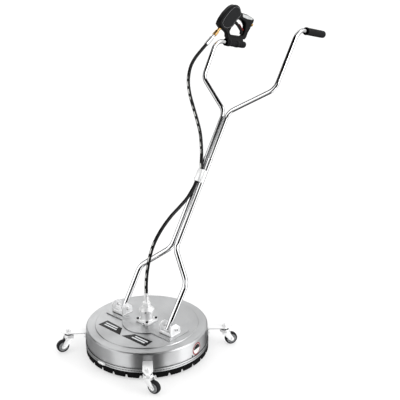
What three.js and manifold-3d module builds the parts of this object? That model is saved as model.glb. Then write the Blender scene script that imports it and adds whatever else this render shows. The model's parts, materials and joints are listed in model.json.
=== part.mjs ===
// Rotary surface cleaner: a round stainless deck on four swivel casters, a rotary swivel that
// carries a spray bar under the deck, and a two-armed push handle with a trigger gun on one
// grip. Millimetres, +Z up, the front of the machine faces -Y, the operator stands at +Y. Left is
// -X and right is +X, as seen from the front.
import * as THREE from "three";
import { mergeVertices } from "three/addons/utils/BufferGeometryUtils.js";
import Module from "manifold-3d";

const wasm = await Module();
wasm.setup();

// ---------------------------------------------------------------- driving dimensions
const GAP = 0.3; // between faces that touch
const ROUND = 56; // flats round the deck, its band and its skirt, which nest flat to flat

const DECK = { radius: 255, sheet: 2, rimZ: 48, shoulderZ: 110, shoulderRadius: 8 };
const DISC = { radius: 217, rise: 3 };
const DECK_TOP = DECK.shoulderZ + DECK.shoulderRadius;
const DISC_TOP = DECK_TOP + DISC.rise;
const BAND = { inner: 257.6, outer: 259.4, low: 36, high: 50 };
const SKIRT = { low: 9, inner: 254, outer: 258.8, notches: 28, notchWidth: 5, notchHeight: 9 };
const PLATE = { radius: 105, halfLength: 187, halfWidth: 61, thickness: 4 };
const PLATE_LOW = DISC_TOP + GAP;
const PLATE_TOP = PLATE_LOW + PLATE.thickness;

const BORE_RADIUS = 18.3;
const FLANGE = { side: 70, corner: 8, thickness: 10, boltOffset: 27 };
const FLANGE_LOW = PLATE_TOP + GAP;
const FLANGE_TOP = FLANGE_LOW + FLANGE.thickness;
const BODY_TOP = 170;
const COLLAR_TOP = 194;
const NUT_TOP = 214;
const HOSE_EXIT_Z = 256;
const SHAFT_RADIUS = 10;
const BEARING = { inner: 10.4, outer: 17.9, height: 11, lowZ: 141, highZ: 172.5 };
const ROTOR = { z: 77, hubLength: 56, hubWidth: 34, hubHeight: 26, reach: 212, tubeRadius: 8 };

const CASTER = { stemRadius: 329.5, armTop: 88, armThickness: 4, armHalfWidth: 21, tip: 362 };
const WHEEL = { radius: 27, width: 22, trail: 29, boreRadius: 3.5 };
const FORK = { inner: 12.3, outer: 15, crownTop: 83.7, plateLow: 63.5, plateTop: 66.5 };

const PIVOT = new THREE.Vector3(131, -5, 148); // handle tilt bolt, mirrored at -X
const EAR = { inner: 108, outer: 172, sheet: 3 };
const LOWER_TUBE = { outer: 11, inner: 10 };
const UPPER_TUBE = { outer: 9.4, inner: 8 };
const TUBE_SPACING = 11.5; // half the distance between the two middle runs
const BEND_RADIUS = 60;
const KNEE = new THREE.Vector3(134, 101, 305);
const WAIST = new THREE.Vector3(TUBE_SPACING, 170, 404);
const CROTCH = new THREE.Vector3(TUBE_SPACING, 514, 932);
const SHOULDER = new THREE.Vector3(198, 592, 1045);
const RISER_DIRECTION = new THREE.Vector3(0.029, 0.531, 0.847).normalize();
const RISER_LENGTH = { left: 181, right: 275 };
const GRIP_DIRECTION = new THREE.Vector3(0, 0.979, -0.205).normalize();
const GRIP = { radius: 15.5, length: 145, startLeft: 66, startRight: 57, bore: 9.8, end: 12 };
const SOCKET = { middle: 0.655, overlap: 45 }; // where the upper tubes slide into the lower ones
const CLAMP = { middle: 0.52, length: 55, width: 46, low: 12.3, high: 27 };
const HOSE_RADIUS = 7.25;
const HOSE_LIFT = 17; // hose axis in front of the plane of the two tubes

const GUN = { y: 815, z: 1264, thickness: 32, slot: 17, triggerWidth: 13, lockWidth: 9 };
const TRIGGER_PIVOT = { y: -14, z: 8 };

// ---------------------------------------------------------------- finishes
const finish = (color, roughness, metalness) => ({ color, roughness, metalness });
const BRUSHED = finish(0xb9bbbd, 0.32, 1);
const CHROME = finish(0xd6d8da, 0.14, 1);
const ZINC = finish(0xc4c6c8, 0.35, 1);
const CAST = finish(0xcfd1d3, 0.38, 1);
const BRASS = finish(0xc9a15a, 0.3, 1);
const BRISTLE = finish(0x141414, 0.85, 0);
const RUBBER = finish(0x1b1b1c, 0.75, 0);
const BLACK_PLASTIC = finish(0x1d1e20, 0.5, 0);
const TYRE = finish(0x38393b, 0.6, 0);
const RED_PLASTIC = finish(0xb01f24, 0.4, 0);

// ---------------------------------------------------------------- shape helpers
const AXIS_X = new THREE.Vector3(1, 0, 0);
const AXIS_Y = new THREE.Vector3(0, 1, 0);
const AXIS_Z = new THREE.Vector3(0, 0, 1);

function toSolid(geometry) {
  const plain = geometry.clone();
  plain.deleteAttribute("normal");
  plain.deleteAttribute("uv");
  const merged = mergeVertices(plain, 1e-4);
  const index = merged.index.array;
  const triangles = [];
  for (let i = 0; i < index.length; i += 3) {
    const [a, b, c] = [index[i], index[i + 1], index[i + 2]];
    if (a !== b && b !== c && c !== a) triangles.push(a, b, c);
  }
  const vertProperties = new Float32Array(merged.attributes.position.array);
  const triVerts = new Uint32Array(triangles);
  return new wasm.Manifold(new wasm.Mesh({ numProp: 3, vertProperties, triVerts }));
}

function toGeometry(solid) {
  const mesh = solid.getMesh();
  const geometry = new THREE.BufferGeometry();
  geometry.setAttribute("position", new THREE.BufferAttribute(mesh.vertProperties, 3));
  geometry.setIndex(new THREE.BufferAttribute(mesh.triVerts, 1));
  geometry.computeVertexNormals();
  return geometry;
}

function mirrorX(geometry) {
  const flipped = toGeometry(toSolid(geometry)).scale(-1, 1, 1);
  const index = flipped.index.array;
  for (let i = 0; i < index.length; i += 3) [index[i], index[i + 1]] = [index[i + 1], index[i]];
  return flipped;
}

function join(first, ...others) {
  let solid = toSolid(first);
  for (const other of others) solid = solid.add(toSolid(other));
  return toGeometry(solid);
}

function cut(base, ...tools) {
  let solid = toSolid(base);
  for (const tool of tools) solid = solid.subtract(toSolid(tool));
  return toGeometry(solid);
}

// A solid of revolution about Z from [radius, z] points, listed counter-clockwise.
function revolve(profile, segments, closed = true) {
  const points = profile.map(([r, z]) => new THREE.Vector2(r, z));
  if (closed) points.push(points[0].clone());
  return new THREE.LatheGeometry(points, segments).rotateX(Math.PI / 2);
}

function arc(centreR, centreZ, radius, fromDegrees, toDegrees, steps) {
  const points = [];
  for (let i = 0; i <= steps; i++) {
    const angle = THREE.MathUtils.degToRad(fromDegrees + ((toDegrees - fromDegrees) * i) / steps);
    points.push([centreR + radius * Math.cos(angle), centreZ + radius * Math.sin(angle)]);
  }
  return points;
}

function rod(radius, low, high, sides = 16) {
  const geometry = new THREE.CylinderGeometry(radius, radius, high - low, sides);
  return geometry.rotateX(Math.PI / 2).translate(0, 0, (low + high) / 2);
}

function rodAlongX(radius, from, to, y, z, sides = 16) {
  return rod(radius, from, to, sides).rotateY(Math.PI / 2).translate(0, y, z);
}

function block(x0, x1, y0, y1, z0, z1) {
  const geometry = new THREE.BoxGeometry(x1 - x0, y1 - y0, z1 - z0);
  return geometry.translate((x0 + x1) / 2, (y0 + y1) / 2, (z0 + z1) / 2);
}

function outline(points) {
  return new THREE.Shape(points.map(([x, y]) => new THREE.Vector2(x, y)));
}

// A plate whose outline is given in [y, z], centred on x = 0.
function sidePlate(shape, thickness, bevel = 0) {
  const geometry = new THREE.ExtrudeGeometry(shape, {
    depth: thickness - 2 * bevel,
    bevelEnabled: bevel > 0,
    bevelSize: bevel,
    bevelOffset: -bevel,
    bevelThickness: bevel,
    bevelSegments: 1,
  });
  geometry.translate(0, 0, bevel - thickness / 2);
  const upright = new THREE.Matrix4().makeBasis(AXIS_Y, AXIS_Z, AXIS_X);
  return geometry.applyMatrix4(upright);
}

// A path of straight runs joined by round bends. Its stations are spaced for the bends, so a
// swept tube has no rings to spare along the straights.
class BentPath extends THREE.Curve {
  constructor(corners, radius, perBend) {
    super();
    this.stations = [corners[0].clone()];
    for (let i = 1; i < corners.length - 1; i++) {
      const before = corners[i - 1].clone().sub(corners[i]).normalize();
      const after = corners[i + 1].clone().sub(corners[i]).normalize();
      const half = before.angleTo(after) / 2;
      const inset = radius / Math.tan(half);
      const middle = before.clone().add(after).normalize();
      const centre = corners[i].clone().addScaledVector(middle, radius / Math.sin(half));
      const start = corners[i].clone().addScaledVector(before, inset).sub(centre);
      const axis = before.clone().cross(after).normalize();
      const turn = -(Math.PI - 2 * half);
      for (let k = 0; k <= perBend; k++) {
        const spoke = start.clone().applyAxisAngle(axis, (turn * k) / perBend);
        this.stations.push(spoke.add(centre));
      }
    }
    this.stations.push(corners[corners.length - 1].clone());
  }
  getPoint(t, target = new THREE.Vector3()) {
    const place = t * (this.stations.length - 1);
    const index = Math.min(Math.floor(place), this.stations.length - 2);
    return target.lerpVectors(this.stations[index], this.stations[index + 1], place - index);
  }
  getUtoTmapping(u) {
    return u;
  }
}

function ringShape(outer, inner, sides) {
  const circle = (radius) => {
    const points = [];
    for (let i = 0; i < sides; i++) {
      const angle = (2 * Math.PI * i) / sides;
      points.push(new THREE.Vector2(radius * Math.cos(angle), radius * Math.sin(angle)));
    }
    return points;
  };
  const shape = new THREE.Shape(circle(outer));
  if (inner > 0) shape.holes.push(new THREE.Path(circle(inner)));
  return shape;
}

function bentTube(corners, radius, size, sides = 10, perBend = 3) {
  const path = new BentPath(corners, radius, perBend);
  const steps = path.stations.length - 1;
  const section = ringShape(size.outer, size.inner, sides);
  return new THREE.ExtrudeGeometry(section, { steps, extrudePath: path, bevelEnabled: false });
}

function aim(geometry, direction) {
  const turn = new THREE.Quaternion().setFromUnitVectors(AXIS_Z, direction);
  return geometry.applyQuaternion(turn);
}

// ---------------------------------------------------------------- scene helpers
const machine = new THREE.Group();

function place(parent, name, geometry, look) {
  const mesh = new THREE.Mesh(geometry, new THREE.MeshStandardMaterial(look));
  mesh.name = name;
  parent.add(mesh);
  return mesh;
}

const along = (from, to, share) => from.clone().lerp(to, share);
const mirrored = (point) => new THREE.Vector3(-point.x, point.y, point.z);

// ---------------------------------------------------------------- deck
function deckShell() {
  const { radius, sheet, rimZ, shoulderZ, shoulderRadius } = DECK;
  const bend = radius - shoulderRadius;
  const profile = [
    [radius - sheet, rimZ],
    [radius, rimZ],
    ...arc(bend, shoulderZ, shoulderRadius, 0, 90, 3),
    [DISC.radius + 2, DECK_TOP],
    [DISC.radius, DISC_TOP],
    [BORE_RADIUS, DISC_TOP],
    [BORE_RADIUS, DISC_TOP - sheet],
    [DISC.radius - 1, DISC_TOP - sheet],
    [DISC.radius + 1, DECK_TOP - sheet],
    ...arc(bend, shoulderZ, shoulderRadius - sheet, 90, 0, 3),
  ];
  return cut(revolve(profile, ROUND), ...boltHoles());
}

function boltHoles() {
  return boltPlaces().map(([x, y]) => rod(4.5, 100, 150, 12).translate(x, y, 0));
}

function boltPlaces() {
  const { boltOffset: b } = FLANGE;
  return [[-b, -b], [b, -b], [b, b], [-b, b]];
}

function rimBand() {
  const { inner, outer, low, high } = BAND;
  const ring = revolve([[inner, low], [outer, low], [outer, high], [inner, high]], ROUND);
  const lug = block(-15, 15, -outer - 6, -inner - 0.2, low + 2, high - 2);
  return join(ring, cut(lug, block(-2, 2, -outer - 10, -outer, low, high)));
}

function brushSkirt() {
  const { low, inner, outer, notches, notchWidth, notchHeight } = SKIRT;
  const clamped = BAND.inner - GAP;
  const profile = [
    [inner, low],
    [outer, low],
    [outer, BAND.low - 3],
    [clamped, BAND.low - GAP],
    [clamped, BAND.high],
    [DECK.radius + GAP, BAND.high],
    [DECK.radius + GAP, DECK.rimZ - GAP],
    [inner, DECK.rimZ - GAP],
  ];
  const slots = [];
  for (let i = 0; i < notches; i++) {
    const half = notchWidth / 2;
    const top = low + notchHeight;
    const wedge = outline([[-half, low - 1], [half, low - 1], [1, top], [-1, top]]);
    const tool = sidePlate(wedge, 20).translate(DECK.radius, 0, 0);
    slots.push(tool.rotateZ((2 * Math.PI * i) / notches));
  }
  return cut(revolve(profile, ROUND), ...slots);
}

function topPlate() {
  const { radius, halfLength, halfWidth } = PLATE;
  const disc = rod(radius, PLATE_LOW, PLATE_TOP, 48);
  const wings = block(-halfLength, halfLength, -halfWidth, halfWidth, PLATE_LOW, PLATE_TOP);
  return cut(join(disc, wings), rod(BORE_RADIUS, 100, 150, 24), ...boltHoles());
}

// ---------------------------------------------------------------- rotary swivel
function swivelFlange() {
  const half = FLANGE.side / 2;
  const { corner } = FLANGE;
  const shape = new THREE.Shape();
  shape.moveTo(half, -half + corner);
  shape.lineTo(half, half - corner);
  shape.absarc(half - corner, half - corner, corner, 0, Math.PI / 2);
  shape.absarc(-half + corner, half - corner, corner, Math.PI / 2, Math.PI);
  shape.absarc(-half + corner, -half + corner, corner, Math.PI, 1.5 * Math.PI);
  shape.absarc(half - corner, -half + corner, corner, 1.5 * Math.PI, 2 * Math.PI);
  const depth = FLANGE.thickness;
  const slab = new THREE.ExtrudeGeometry(shape, { depth, bevelEnabled: false, curveSegments: 4 });
  slab.translate(0, 0, FLANGE_LOW);
  return cut(slab, rod(BORE_RADIUS, 100, 150, 24), ...boltHoles());
}

function swivelBody() {
  const low = FLANGE_TOP + GAP;
  const profile = [
    [BORE_RADIUS, low],
    [30, low],
    [27.5, low + 2.5],
    [26, low + 7],
    [26, BODY_TOP],
    [BORE_RADIUS, BODY_TOP],
  ];
  return revolve(profile, 24);
}

function swivelCollar() {
  const low = BODY_TOP + GAP;
  const roof = COLLAR_TOP - 8;
  const profile = [
    [BORE_RADIUS, low],
    [29, low],
    [32, low + 3],
    [32, COLLAR_TOP - 11],
    [19, COLLAR_TOP],
    [SHAFT_RADIUS - 1, COLLAR_TOP],
    [SHAFT_RADIUS - 1, roof],
    [BORE_RADIUS, roof],
  ];
  return revolve(profile, 24);
}

function swivelNut() {
  const low = COLLAR_TOP + GAP;
  const hexagon = rod(18, low, NUT_TOP, 6);
  return cut(hexagon, rod(8.7, low - 5, NUT_TOP + 5, 20));
}

function hoseEndLower() {
  const neck = rod(8.2, COLLAR_TOP + 6, NUT_TOP + 12.5, 20);
  const hexagon = rod(10.8, NUT_TOP + 12, NUT_TOP + 26, 6);
  const low = NUT_TOP + 25;
  const profile = [[0, low], [7.5, low], [10, low + 3], [10, HOSE_EXIT_Z], [0, HOSE_EXIT_Z]];
  const ferrule = revolve(profile, 20, false);
  return join(neck, hexagon, ferrule);
}

function bearing(low) {
  const { inner, outer, height } = BEARING;
  return revolve([[inner, low], [outer, low], [outer, low + height], [inner, low + height]], 20);
}

function flangeBolt() {
  const shank = rod(4, DISC_TOP - 9, FLANGE_TOP + 3, 8);
  const head = rod(7.5, FLANGE_TOP + GAP, FLANGE_TOP + 6, 6);
  const nut = rod(7.5, DISC_TOP - 8.5, DISC_TOP - DECK.sheet - GAP, 6);
  return join(shank, head, nut);
}

// ---------------------------------------------------------------- spinning rotor
function rotorShaft() {
  const shoulder = COLLAR_TOP - 9;
  const low = ROTOR.z - ROTOR.hubHeight / 2;
  const profile = [
    [3, low],
    [SHAFT_RADIUS, low],
    [SHAFT_RADIUS, shoulder],
    [7, shoulder],
    [7, COLLAR_TOP],
    [3, COLLAR_TOP],
  ];
  return revolve(profile, 24);
}

function rotorHub() {
  const { z, hubLength, hubWidth, hubHeight } = ROTOR;
  const half = hubHeight / 2;
  const body = block(-hubLength / 2, hubLength / 2, -hubWidth / 2, hubWidth / 2, z - half, z + half);
  return cut(body, rod(SHAFT_RADIUS + GAP, z - 30, z + 30, 24));
}

function sprayArm() {
  const { z, hubLength, reach, tubeRadius } = ROTOR;
  const corners = [
    new THREE.Vector3(hubLength / 2 + GAP, 0, z),
    new THREE.Vector3(reach, 0, z),
    new THREE.Vector3(reach + 4, 0, z - 22),
  ];
  return bentTube(corners, 14, { outer: tubeRadius, inner: tubeRadius - 2 }, 10, 3);
}

function sprayNozzle() {
  const profile = [[1, 0], [3.5, 0], [5, 3], [7.5, 4], [7.5, 10], [1, 10]];
  const tilt = Math.atan2(4, 22);
  const nozzle = revolve(profile, 12).translate(0, 0, -10 - GAP).rotateY(-tilt);
  return nozzle.translate(ROTOR.reach + 4, 0, ROTOR.z - 22);
}

// ---------------------------------------------------------------- casters
function casterArm() {
  const { stemRadius, armTop, armThickness, armHalfWidth: w, tip } = CASTER;
  const root = DECK.radius + 0.5;
  const shape = outline([
    [root, -19],
    [stemRadius, -w],
    [tip, -4],
    [tip, 4],
    [stemRadius, w],
    [root, 19],
  ]);
  shape.holes.push(new THREE.Path().absarc(stemRadius, 0, 5.6, 0, 2 * Math.PI, true));
  const sweep = { depth: armThickness, bevelEnabled: false, curveSegments: 8 };
  const plate = new THREE.ExtrudeGeometry(shape, sweep);
  plate.translate(0, 0, armTop - armThickness);
  const tab = block(root, root + armThickness, -19, 19, 53, armTop - 0.5);
  return join(plate, tab);
}

function casterStem() {
  const { armTop } = CASTER;
  const washer = rod(11.5, armTop + GAP, armTop + 2.3, 12);
  const nut = rod(10, armTop + 2.2, armTop + 9.5, 6);
  const post = rod(5, FORK.plateTop + 3, armTop + 13, 12);
  return join(washer, nut, post);
}

function casterFork() {
  const { inner, outer, crownTop, plateLow, plateTop } = FORK;
  const profile = [
    [5.6, plateLow],
    [18, plateLow],
    [20, plateLow + 4],
    [19, 74],
    [13, 78],
    [13, crownTop],
    [5.6, crownTop],
  ];
  const crown = revolve(profile, 14);
  const { trail, radius } = WHEEL;
  const leg = outline([
    [-15, plateTop],
    [20, plateTop],
    ...arc(trail, radius, 8.5, 20, -150, 4),
    [-15, plateTop - 9],
  ]);
  const parts = [];
  for (const side of [-1, 1]) {
    const sheet = sidePlate(leg, outer - inner).translate((side * (outer + inner)) / 2, 0, 0);
    parts.push(sheet);
  }
  const bridge = block(-outer, outer, -15, 20, plateLow, plateTop);
  const fork = join(crown, ...parts, bridge);
  const opened = cut(fork, rodAlongX(3.4, -30, 30, trail, radius, 8), rod(5.6, 50, 90, 14));
  return opened.rotateZ(-Math.PI / 2);
}

function casterWheel() {
  const { radius: r, width, boreRadius } = WHEEL;
  const w = width / 2;
  const profile = [
    [boreRadius, -w - 0.6],
    [9, -w - 0.6],
    [18, -w + 2],
    [r - 2.5, -w],
    [r, -w + 4],
    [r, w - 4],
    [r - 2.5, w],
    [18, w - 2],
    [9, w + 0.6],
    [boreRadius, w + 0.6],
  ];
  return revolve(profile, 18).rotateX(Math.PI / 2).translate(WHEEL.trail, 0, WHEEL.radius);
}

function casterAxle() {
  const { outer } = FORK;
  const bolt = join(
    rod(3, -outer - 2, outer + 2, 12),
    rod(5.8, outer + GAP, outer + 3.3, 6),
    rod(5.8, -outer - 3.3, -outer - GAP, 6),
  );
  return bolt.rotateX(Math.PI / 2).translate(WHEEL.trail, 0, WHEEL.radius);
}

function addCaster(name, angle, heading) {
  const arm = new THREE.Group();
  arm.rotation.z = THREE.MathUtils.degToRad(angle);
  place(arm, `caster_arm_${name}`, casterArm(), ZINC);
  machine.add(arm);
  const swivel = new THREE.Group();
  swivel.position.set(
    CASTER.stemRadius * Math.cos(arm.rotation.z),
    CASTER.stemRadius * Math.sin(arm.rotation.z),
    0,
  );
  swivel.rotation.z = THREE.MathUtils.degToRad(heading);
  place(swivel, `caster_stem_${name}`, casterStem(), ZINC);
  place(swivel, `caster_fork_${name}`, casterFork(), ZINC);
  place(swivel, `caster_wheel_${name}`, casterWheel(), TYRE);
  place(swivel, `caster_axle_${name}`, casterAxle(), ZINC);
  machine.add(swivel);
}

// ---------------------------------------------------------------- handle
function handleBracket() {
  const { inner, outer, sheet } = EAR;
  const low = PLATE_TOP + GAP;
  const ear = outline([[-38, low], [22, low], [19, 153], [-4, 173], [-27, 173], [-38, 162]]);
  const parts = [];
  for (const x of [inner + sheet / 2, outer - sheet / 2]) {
    parts.push(sidePlate(ear, sheet).translate(x, 0, 0));
  }
  const web = block(inner, outer, -38, 22, low, low + sheet);
  const lip = block(inner, outer, -38, -35, low, low + 11);
  return cut(join(web, lip, ...parts), rodAlongX(4.6, 90, 190, PIVOT.y, PIVOT.z, 16));
}

function pivotBolt() {
  const { inner, outer } = EAR;
  const shank = rodAlongX(4.2, inner - 6, outer + 3, PIVOT.y, PIVOT.z, 12);
  const head = rodAlongX(7.5, outer + GAP, outer + 6, PIVOT.y, PIVOT.z, 6);
  const nut = rodAlongX(7.5, inner - 6.5, inner - GAP, PIVOT.y, PIVOT.z, 6);
  return join(shank, head, nut);
}

function lowerTube() {
  const up = KNEE.clone().sub(PIVOT).normalize();
  const foot = PIVOT.clone().addScaledVector(up, -15);
  const end = along(WAIST, CROTCH, SOCKET.middle);
  const tube = bentTube([foot, KNEE, WAIST, end], BEND_RADIUS, LOWER_TUBE);
  return cut(tube, rodAlongX(4.8, 90, 190, PIVOT.y, PIVOT.z, 16));
}

function riserTop(riserLength) {
  return SHOULDER.clone().addScaledVector(RISER_DIRECTION, riserLength);
}

function upperTube(riserLength, gripStart) {
  const run = CROTCH.distanceTo(WAIST);
  const start = along(WAIST, CROTCH, SOCKET.middle - SOCKET.overlap / run);
  const top = riserTop(riserLength);
  const end = top.clone().addScaledVector(GRIP_DIRECTION, gripStart + GRIP.length - GRIP.end - 6);
  return bentTube([start, CROTCH, SHOULDER, top, end], BEND_RADIUS, UPPER_TUBE);
}

// The rubber grip along its own +Z axis, closed at its outer end.
function gripSleeve() {
  const { radius: r, length, bore, end } = GRIP;
  const profile = [
    [bore, 0],
    [r + 1.5, 0],
    [r + 1.5, 4],
    [r, 7],
    [r, length - 6],
    [r - 4, length],
    [0, length],
    [0, length - end],
    [bore, length - end],
    [bore, 0],
  ];
  return revolve(profile, 18, false);
}

function addGrip(name, side, riserLength, start) {
  const grip = place(machine, name, gripSleeve(), RUBBER);
  const top = riserTop(riserLength);
  top.x *= side;
  grip.position.copy(top.addScaledVector(GRIP_DIRECTION, start));
  grip.quaternion.setFromUnitVectors(AXIS_Z, GRIP_DIRECTION);
}

// The two middle runs of the tubes lie in this frame: x across, y up the tubes, z to the front.
function middleFrame(share) {
  const up = CROTCH.clone().sub(WAIST).normalize();
  const front = AXIS_X.clone().cross(up).normalize();
  const frame = new THREE.Matrix4().makeBasis(AXIS_X, up, front);
  const origin = along(WAIST, CROTCH, share);
  origin.x = 0;
  return frame.setPosition(origin);
}

function hoseClamp() {
  const { length, width, low, high } = CLAMP;
  const half = length / 2;
  const body = block(-width / 2, width / 2, -half, half, low - 12, high);
  const tool = (radius, x, z) => {
    return rod(radius, -length, length, 16).rotateX(Math.PI / 2).translate(x, 0, z);
  };
  const bores = [-TUBE_SPACING, TUBE_SPACING].map((x) => tool(LOWER_TUBE.outer + GAP, x, 0));
  const web = block(-TUBE_SPACING, TUBE_SPACING, -length, length, low - 13, 5);
  const shoulders = [-29, 29].map((x) => block(x - 11, x + 11, -length, length, low + 2, high + 5));
  return cut(body, ...bores, web, ...shoulders, tool(HOSE_RADIUS + 0.9, 0, HOSE_LIFT));
}

function hosePath() {
  const clampFrame = middleFrame(CLAMP.middle);
  const onClamp = (shift) => new THREE.Vector3(0, shift, HOSE_LIFT).applyMatrix4(clampFrame);
  const v = (x, y, z) => new THREE.Vector3(x, y, z);
  return new THREE.CatmullRomCurve3(
    [
      v(0, 0, HOSE_EXIT_Z + GAP),
      v(0, 1, 290),
      v(0, 5, 330),
      v(0, 14, 372),
      v(0, 29, 418),
      v(0, 56, 466),
      v(0, 98, 510),
      v(0, 156, 551),
      v(0, 214, 580),
      v(0, 264, 609),
      onClamp(-CLAMP.length / 2),
      onClamp(0),
      onClamp(CLAMP.length / 2),
      v(-8, 358, 735),
      v(-26, 381, 763),
      v(-43, 399, 800),
      v(-63, 414, 849),
      v(-90, 424, 901),
      v(-118, 431, 953),
      v(-146, 441, 1003),
      v(-170, 459, 1053),
      v(-188, 492, 1103),
      v(-199, 534, 1137),
      hoseTop(),
    ],
    false,
    "centripetal",
  );
}

function hose() {
  const section = ringShape(HOSE_RADIUS, 0, 8);
  const sweep = { steps: 60, extrudePath: hosePath(), bevelEnabled: false };
  return new THREE.ExtrudeGeometry(section, sweep);
}

// ---------------------------------------------------------------- trigger gun
// Outlines are [y, z] from the gun's own datum at GUN.y, GUN.z.
const OUTLET_AXIS = new THREE.Vector3(0, -0.836, -0.549);
const INLET_AXIS = new THREE.Vector3(0, 0.82, -0.572);
const INLET_PLACE = new THREE.Vector3(0, 122, -13);

function gunX() {
  return -riserTop(RISER_LENGTH.left).x;
}

function outletPoint(distance) {
  const start = new THREE.Vector3(gunX(), GUN.y - 100, GUN.z - 10);
  return start.addScaledVector(OUTLET_AXIS, distance);
}

function hoseTop() {
  return outletPoint(118);
}

function gunBody() {
  const skin = outline([
    [-122, 8], [-106, 31], [-78, 55], [-48, 73], [-24, 83], [-2, 85], [18, 81], [33, 72], [39, 58],
    [41, 44], [84, 32], [126, 12], [133, 3], [129, -9], [117, -24], [109, -37], [92, -53], [80, -74],
    [68, -82], [57, -78], [-64, -57], [-62, -40], [-77, -24], [-94, -18], [-112, -3],
  ]);
  skin.holes.push(
    new THREE.Path(
      [
        [24, 21], [-3, 8], [-22, -11], [-34, -16], [-41, -34], [-36, -45], [-16, -51], [19, -58],
        [54, -64], [69, -49], [73, -35], [76, -19], [72, -7], [62, 3], [42, 13],
      ].map(([y, z]) => new THREE.Vector2(y, z)),
    ),
  );
  const recess = outline([
    [-38, -22], [-34, 12], [-20, 24], [-4, 24], [26, 33], [50, 25], [74, 13], [88, -4], [89, -22],
    [85, -40], [79, -56], [54, -63], [-36, -44],
  ]);
  const shell = cut(sidePlate(skin, GUN.thickness, 3), sidePlate(recess, GUN.slot));
  const outlet = aim(rod(7.8, -6, 60, 16), OUTLET_AXIS).translate(0, -100, -10);
  const inlet = aim(rod(7.5, -6, 40, 16), INLET_AXIS).translate(0, INLET_PLACE.y, INLET_PLACE.z);
  return cut(shell, outlet, inlet);
}

function gunTrigger() {
  const { y, z } = TRIGGER_PIVOT;
  const blade = outline([
    ...arc(y, z, 9, 70, 235, 5),
    [0, -6], [10, -9], [23, -21], [48, -45], [45, -55], [52, -58], [60, -51], [61, -45],
    [53, -31], [31, -8], [20, 3], [2, 13],
  ]);
  return sidePlate(blade, GUN.triggerWidth, 1.5);
}

function triggerLock() {
  const lever = outline([
    [35.5, -9.5], [57, -32.5], [63.5, -41.5], [70, -39], [68, -33], [62, -29], [41, -5.5],
  ]);
  return sidePlate(lever, GUN.lockWidth, 1);
}

function gunOutlet() {
  const profile = [[0, 0], [7.2, 0], [7.2, 28], [0, 28]];
  const stub = revolve(profile, 16, false);
  const hexagon = rod(10.5, 26, 52, 6);
  return join(stub, hexagon).translate(0, 0, GAP);
}

function hoseEndUpper() {
  const neck = rod(6, 52 + 2 * GAP, 72, 12);
  const ferrule = rod(9.5, 70, 118 - GAP, 16);
  return join(neck, ferrule);
}

function gunInlet() {
  return join(rod(7, 0, 12, 16), rod(8.6, 6, 17, 6));
}

function gunRest() {
  const slab = outline([[-52, -59.6], [56, -78.1], [56, -100], [-52, -84]]);
  const saddle = sidePlate(slab, 26).translate(gunX(), GUN.y, GUN.z);
  const top = mirrored(riserTop(RISER_LENGTH.left));
  const around = aim(rod(GRIP.radius + 2, 0, 300, 24), GRIP_DIRECTION);
  return cut(saddle, around.translate(top.x, top.y, top.z));
}

function addAlong(name, geometry, look, from, direction) {
  const mesh = place(machine, name, geometry, look);
  mesh.position.copy(from);
  mesh.quaternion.setFromUnitVectors(AXIS_Z, direction);
}

// ---------------------------------------------------------------- assembly
function addDeck() {
  place(machine, "deck_shell", deckShell(), BRUSHED);
  place(machine, "rim_band", rimBand(), BRUSHED);
  place(machine, "brush_skirt", brushSkirt(), BRISTLE);
  place(machine, "top_plate", topPlate(), BRUSHED);
}

function addSwivel() {
  place(machine, "swivel_flange", swivelFlange(), CAST);
  place(machine, "swivel_body", swivelBody(), CAST);
  place(machine, "swivel_collar", swivelCollar(), CAST);
  place(machine, "swivel_nut", swivelNut(), CAST);
  place(machine, "swivel_bearing_lower", bearing(BEARING.lowZ), CHROME);
  place(machine, "swivel_bearing_upper", bearing(BEARING.highZ), CHROME);
  place(machine, "hose_end_lower", hoseEndLower(), ZINC);
  boltPlaces().forEach(([x, y], i) => {
    place(machine, `flange_bolt_${i + 1}`, flangeBolt(), ZINC).position.set(x, y, 0);
  });
}

function addRotor() {
  place(machine, "rotor_shaft", rotorShaft(), CHROME);
  place(machine, "rotor_hub", rotorHub(), BRASS);
  for (const [name, turn] of [["a", 0], ["b", Math.PI]]) {
    place(machine, `spray_arm_${name}`, sprayArm(), CHROME).rotation.z = turn;
    place(machine, `spray_nozzle_${name}`, sprayNozzle(), CAST).rotation.z = turn;
  }
}

function addHandle() {
  for (const [name, side] of [["left", -1], ["right", 1]]) {
    const start = side < 0 ? GRIP.startLeft : GRIP.startRight;
    const pieces = [
      [`handle_bracket_${name}`, handleBracket(), ZINC],
      [`pivot_bolt_${name}`, pivotBolt(), ZINC],
      [`lower_tube_${name}`, lowerTube(), CHROME],
      [`upper_tube_${name}`, upperTube(RISER_LENGTH[name], start), CHROME],
    ];
    for (const [label, geometry, look] of pieces) {
      place(machine, label, side < 0 ? mirrorX(geometry) : geometry, look);
    }
    addGrip(`grip_${name}`, side, RISER_LENGTH[name], start);
  }
  const clamp = place(machine, "hose_clamp", hoseClamp(), ZINC);
  clamp.applyMatrix4(middleFrame(CLAMP.middle));
  place(machine, "hose", hose(), RUBBER);
}

function addGun() {
  const gun = new THREE.Group();
  gun.position.set(gunX(), GUN.y, GUN.z);
  place(gun, "gun_body", gunBody(), BLACK_PLASTIC);
  place(gun, "gun_trigger", gunTrigger(), BLACK_PLASTIC);
  place(gun, "trigger_lock", triggerLock(), RED_PLASTIC);
  machine.add(gun);
  addAlong("gun_outlet", gunOutlet(), BRASS, outletPoint(0), OUTLET_AXIS);
  addAlong("hose_end_upper", hoseEndUpper(), ZINC, outletPoint(0), OUTLET_AXIS);
  const inlet = new THREE.Vector3(gunX(), GUN.y, GUN.z).add(INLET_PLACE);
  addAlong("gun_inlet", gunInlet(), BRASS, inlet, INLET_AXIS);
  place(machine, "gun_rest", gunRest(), BLACK_PLASTIC);
}

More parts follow.
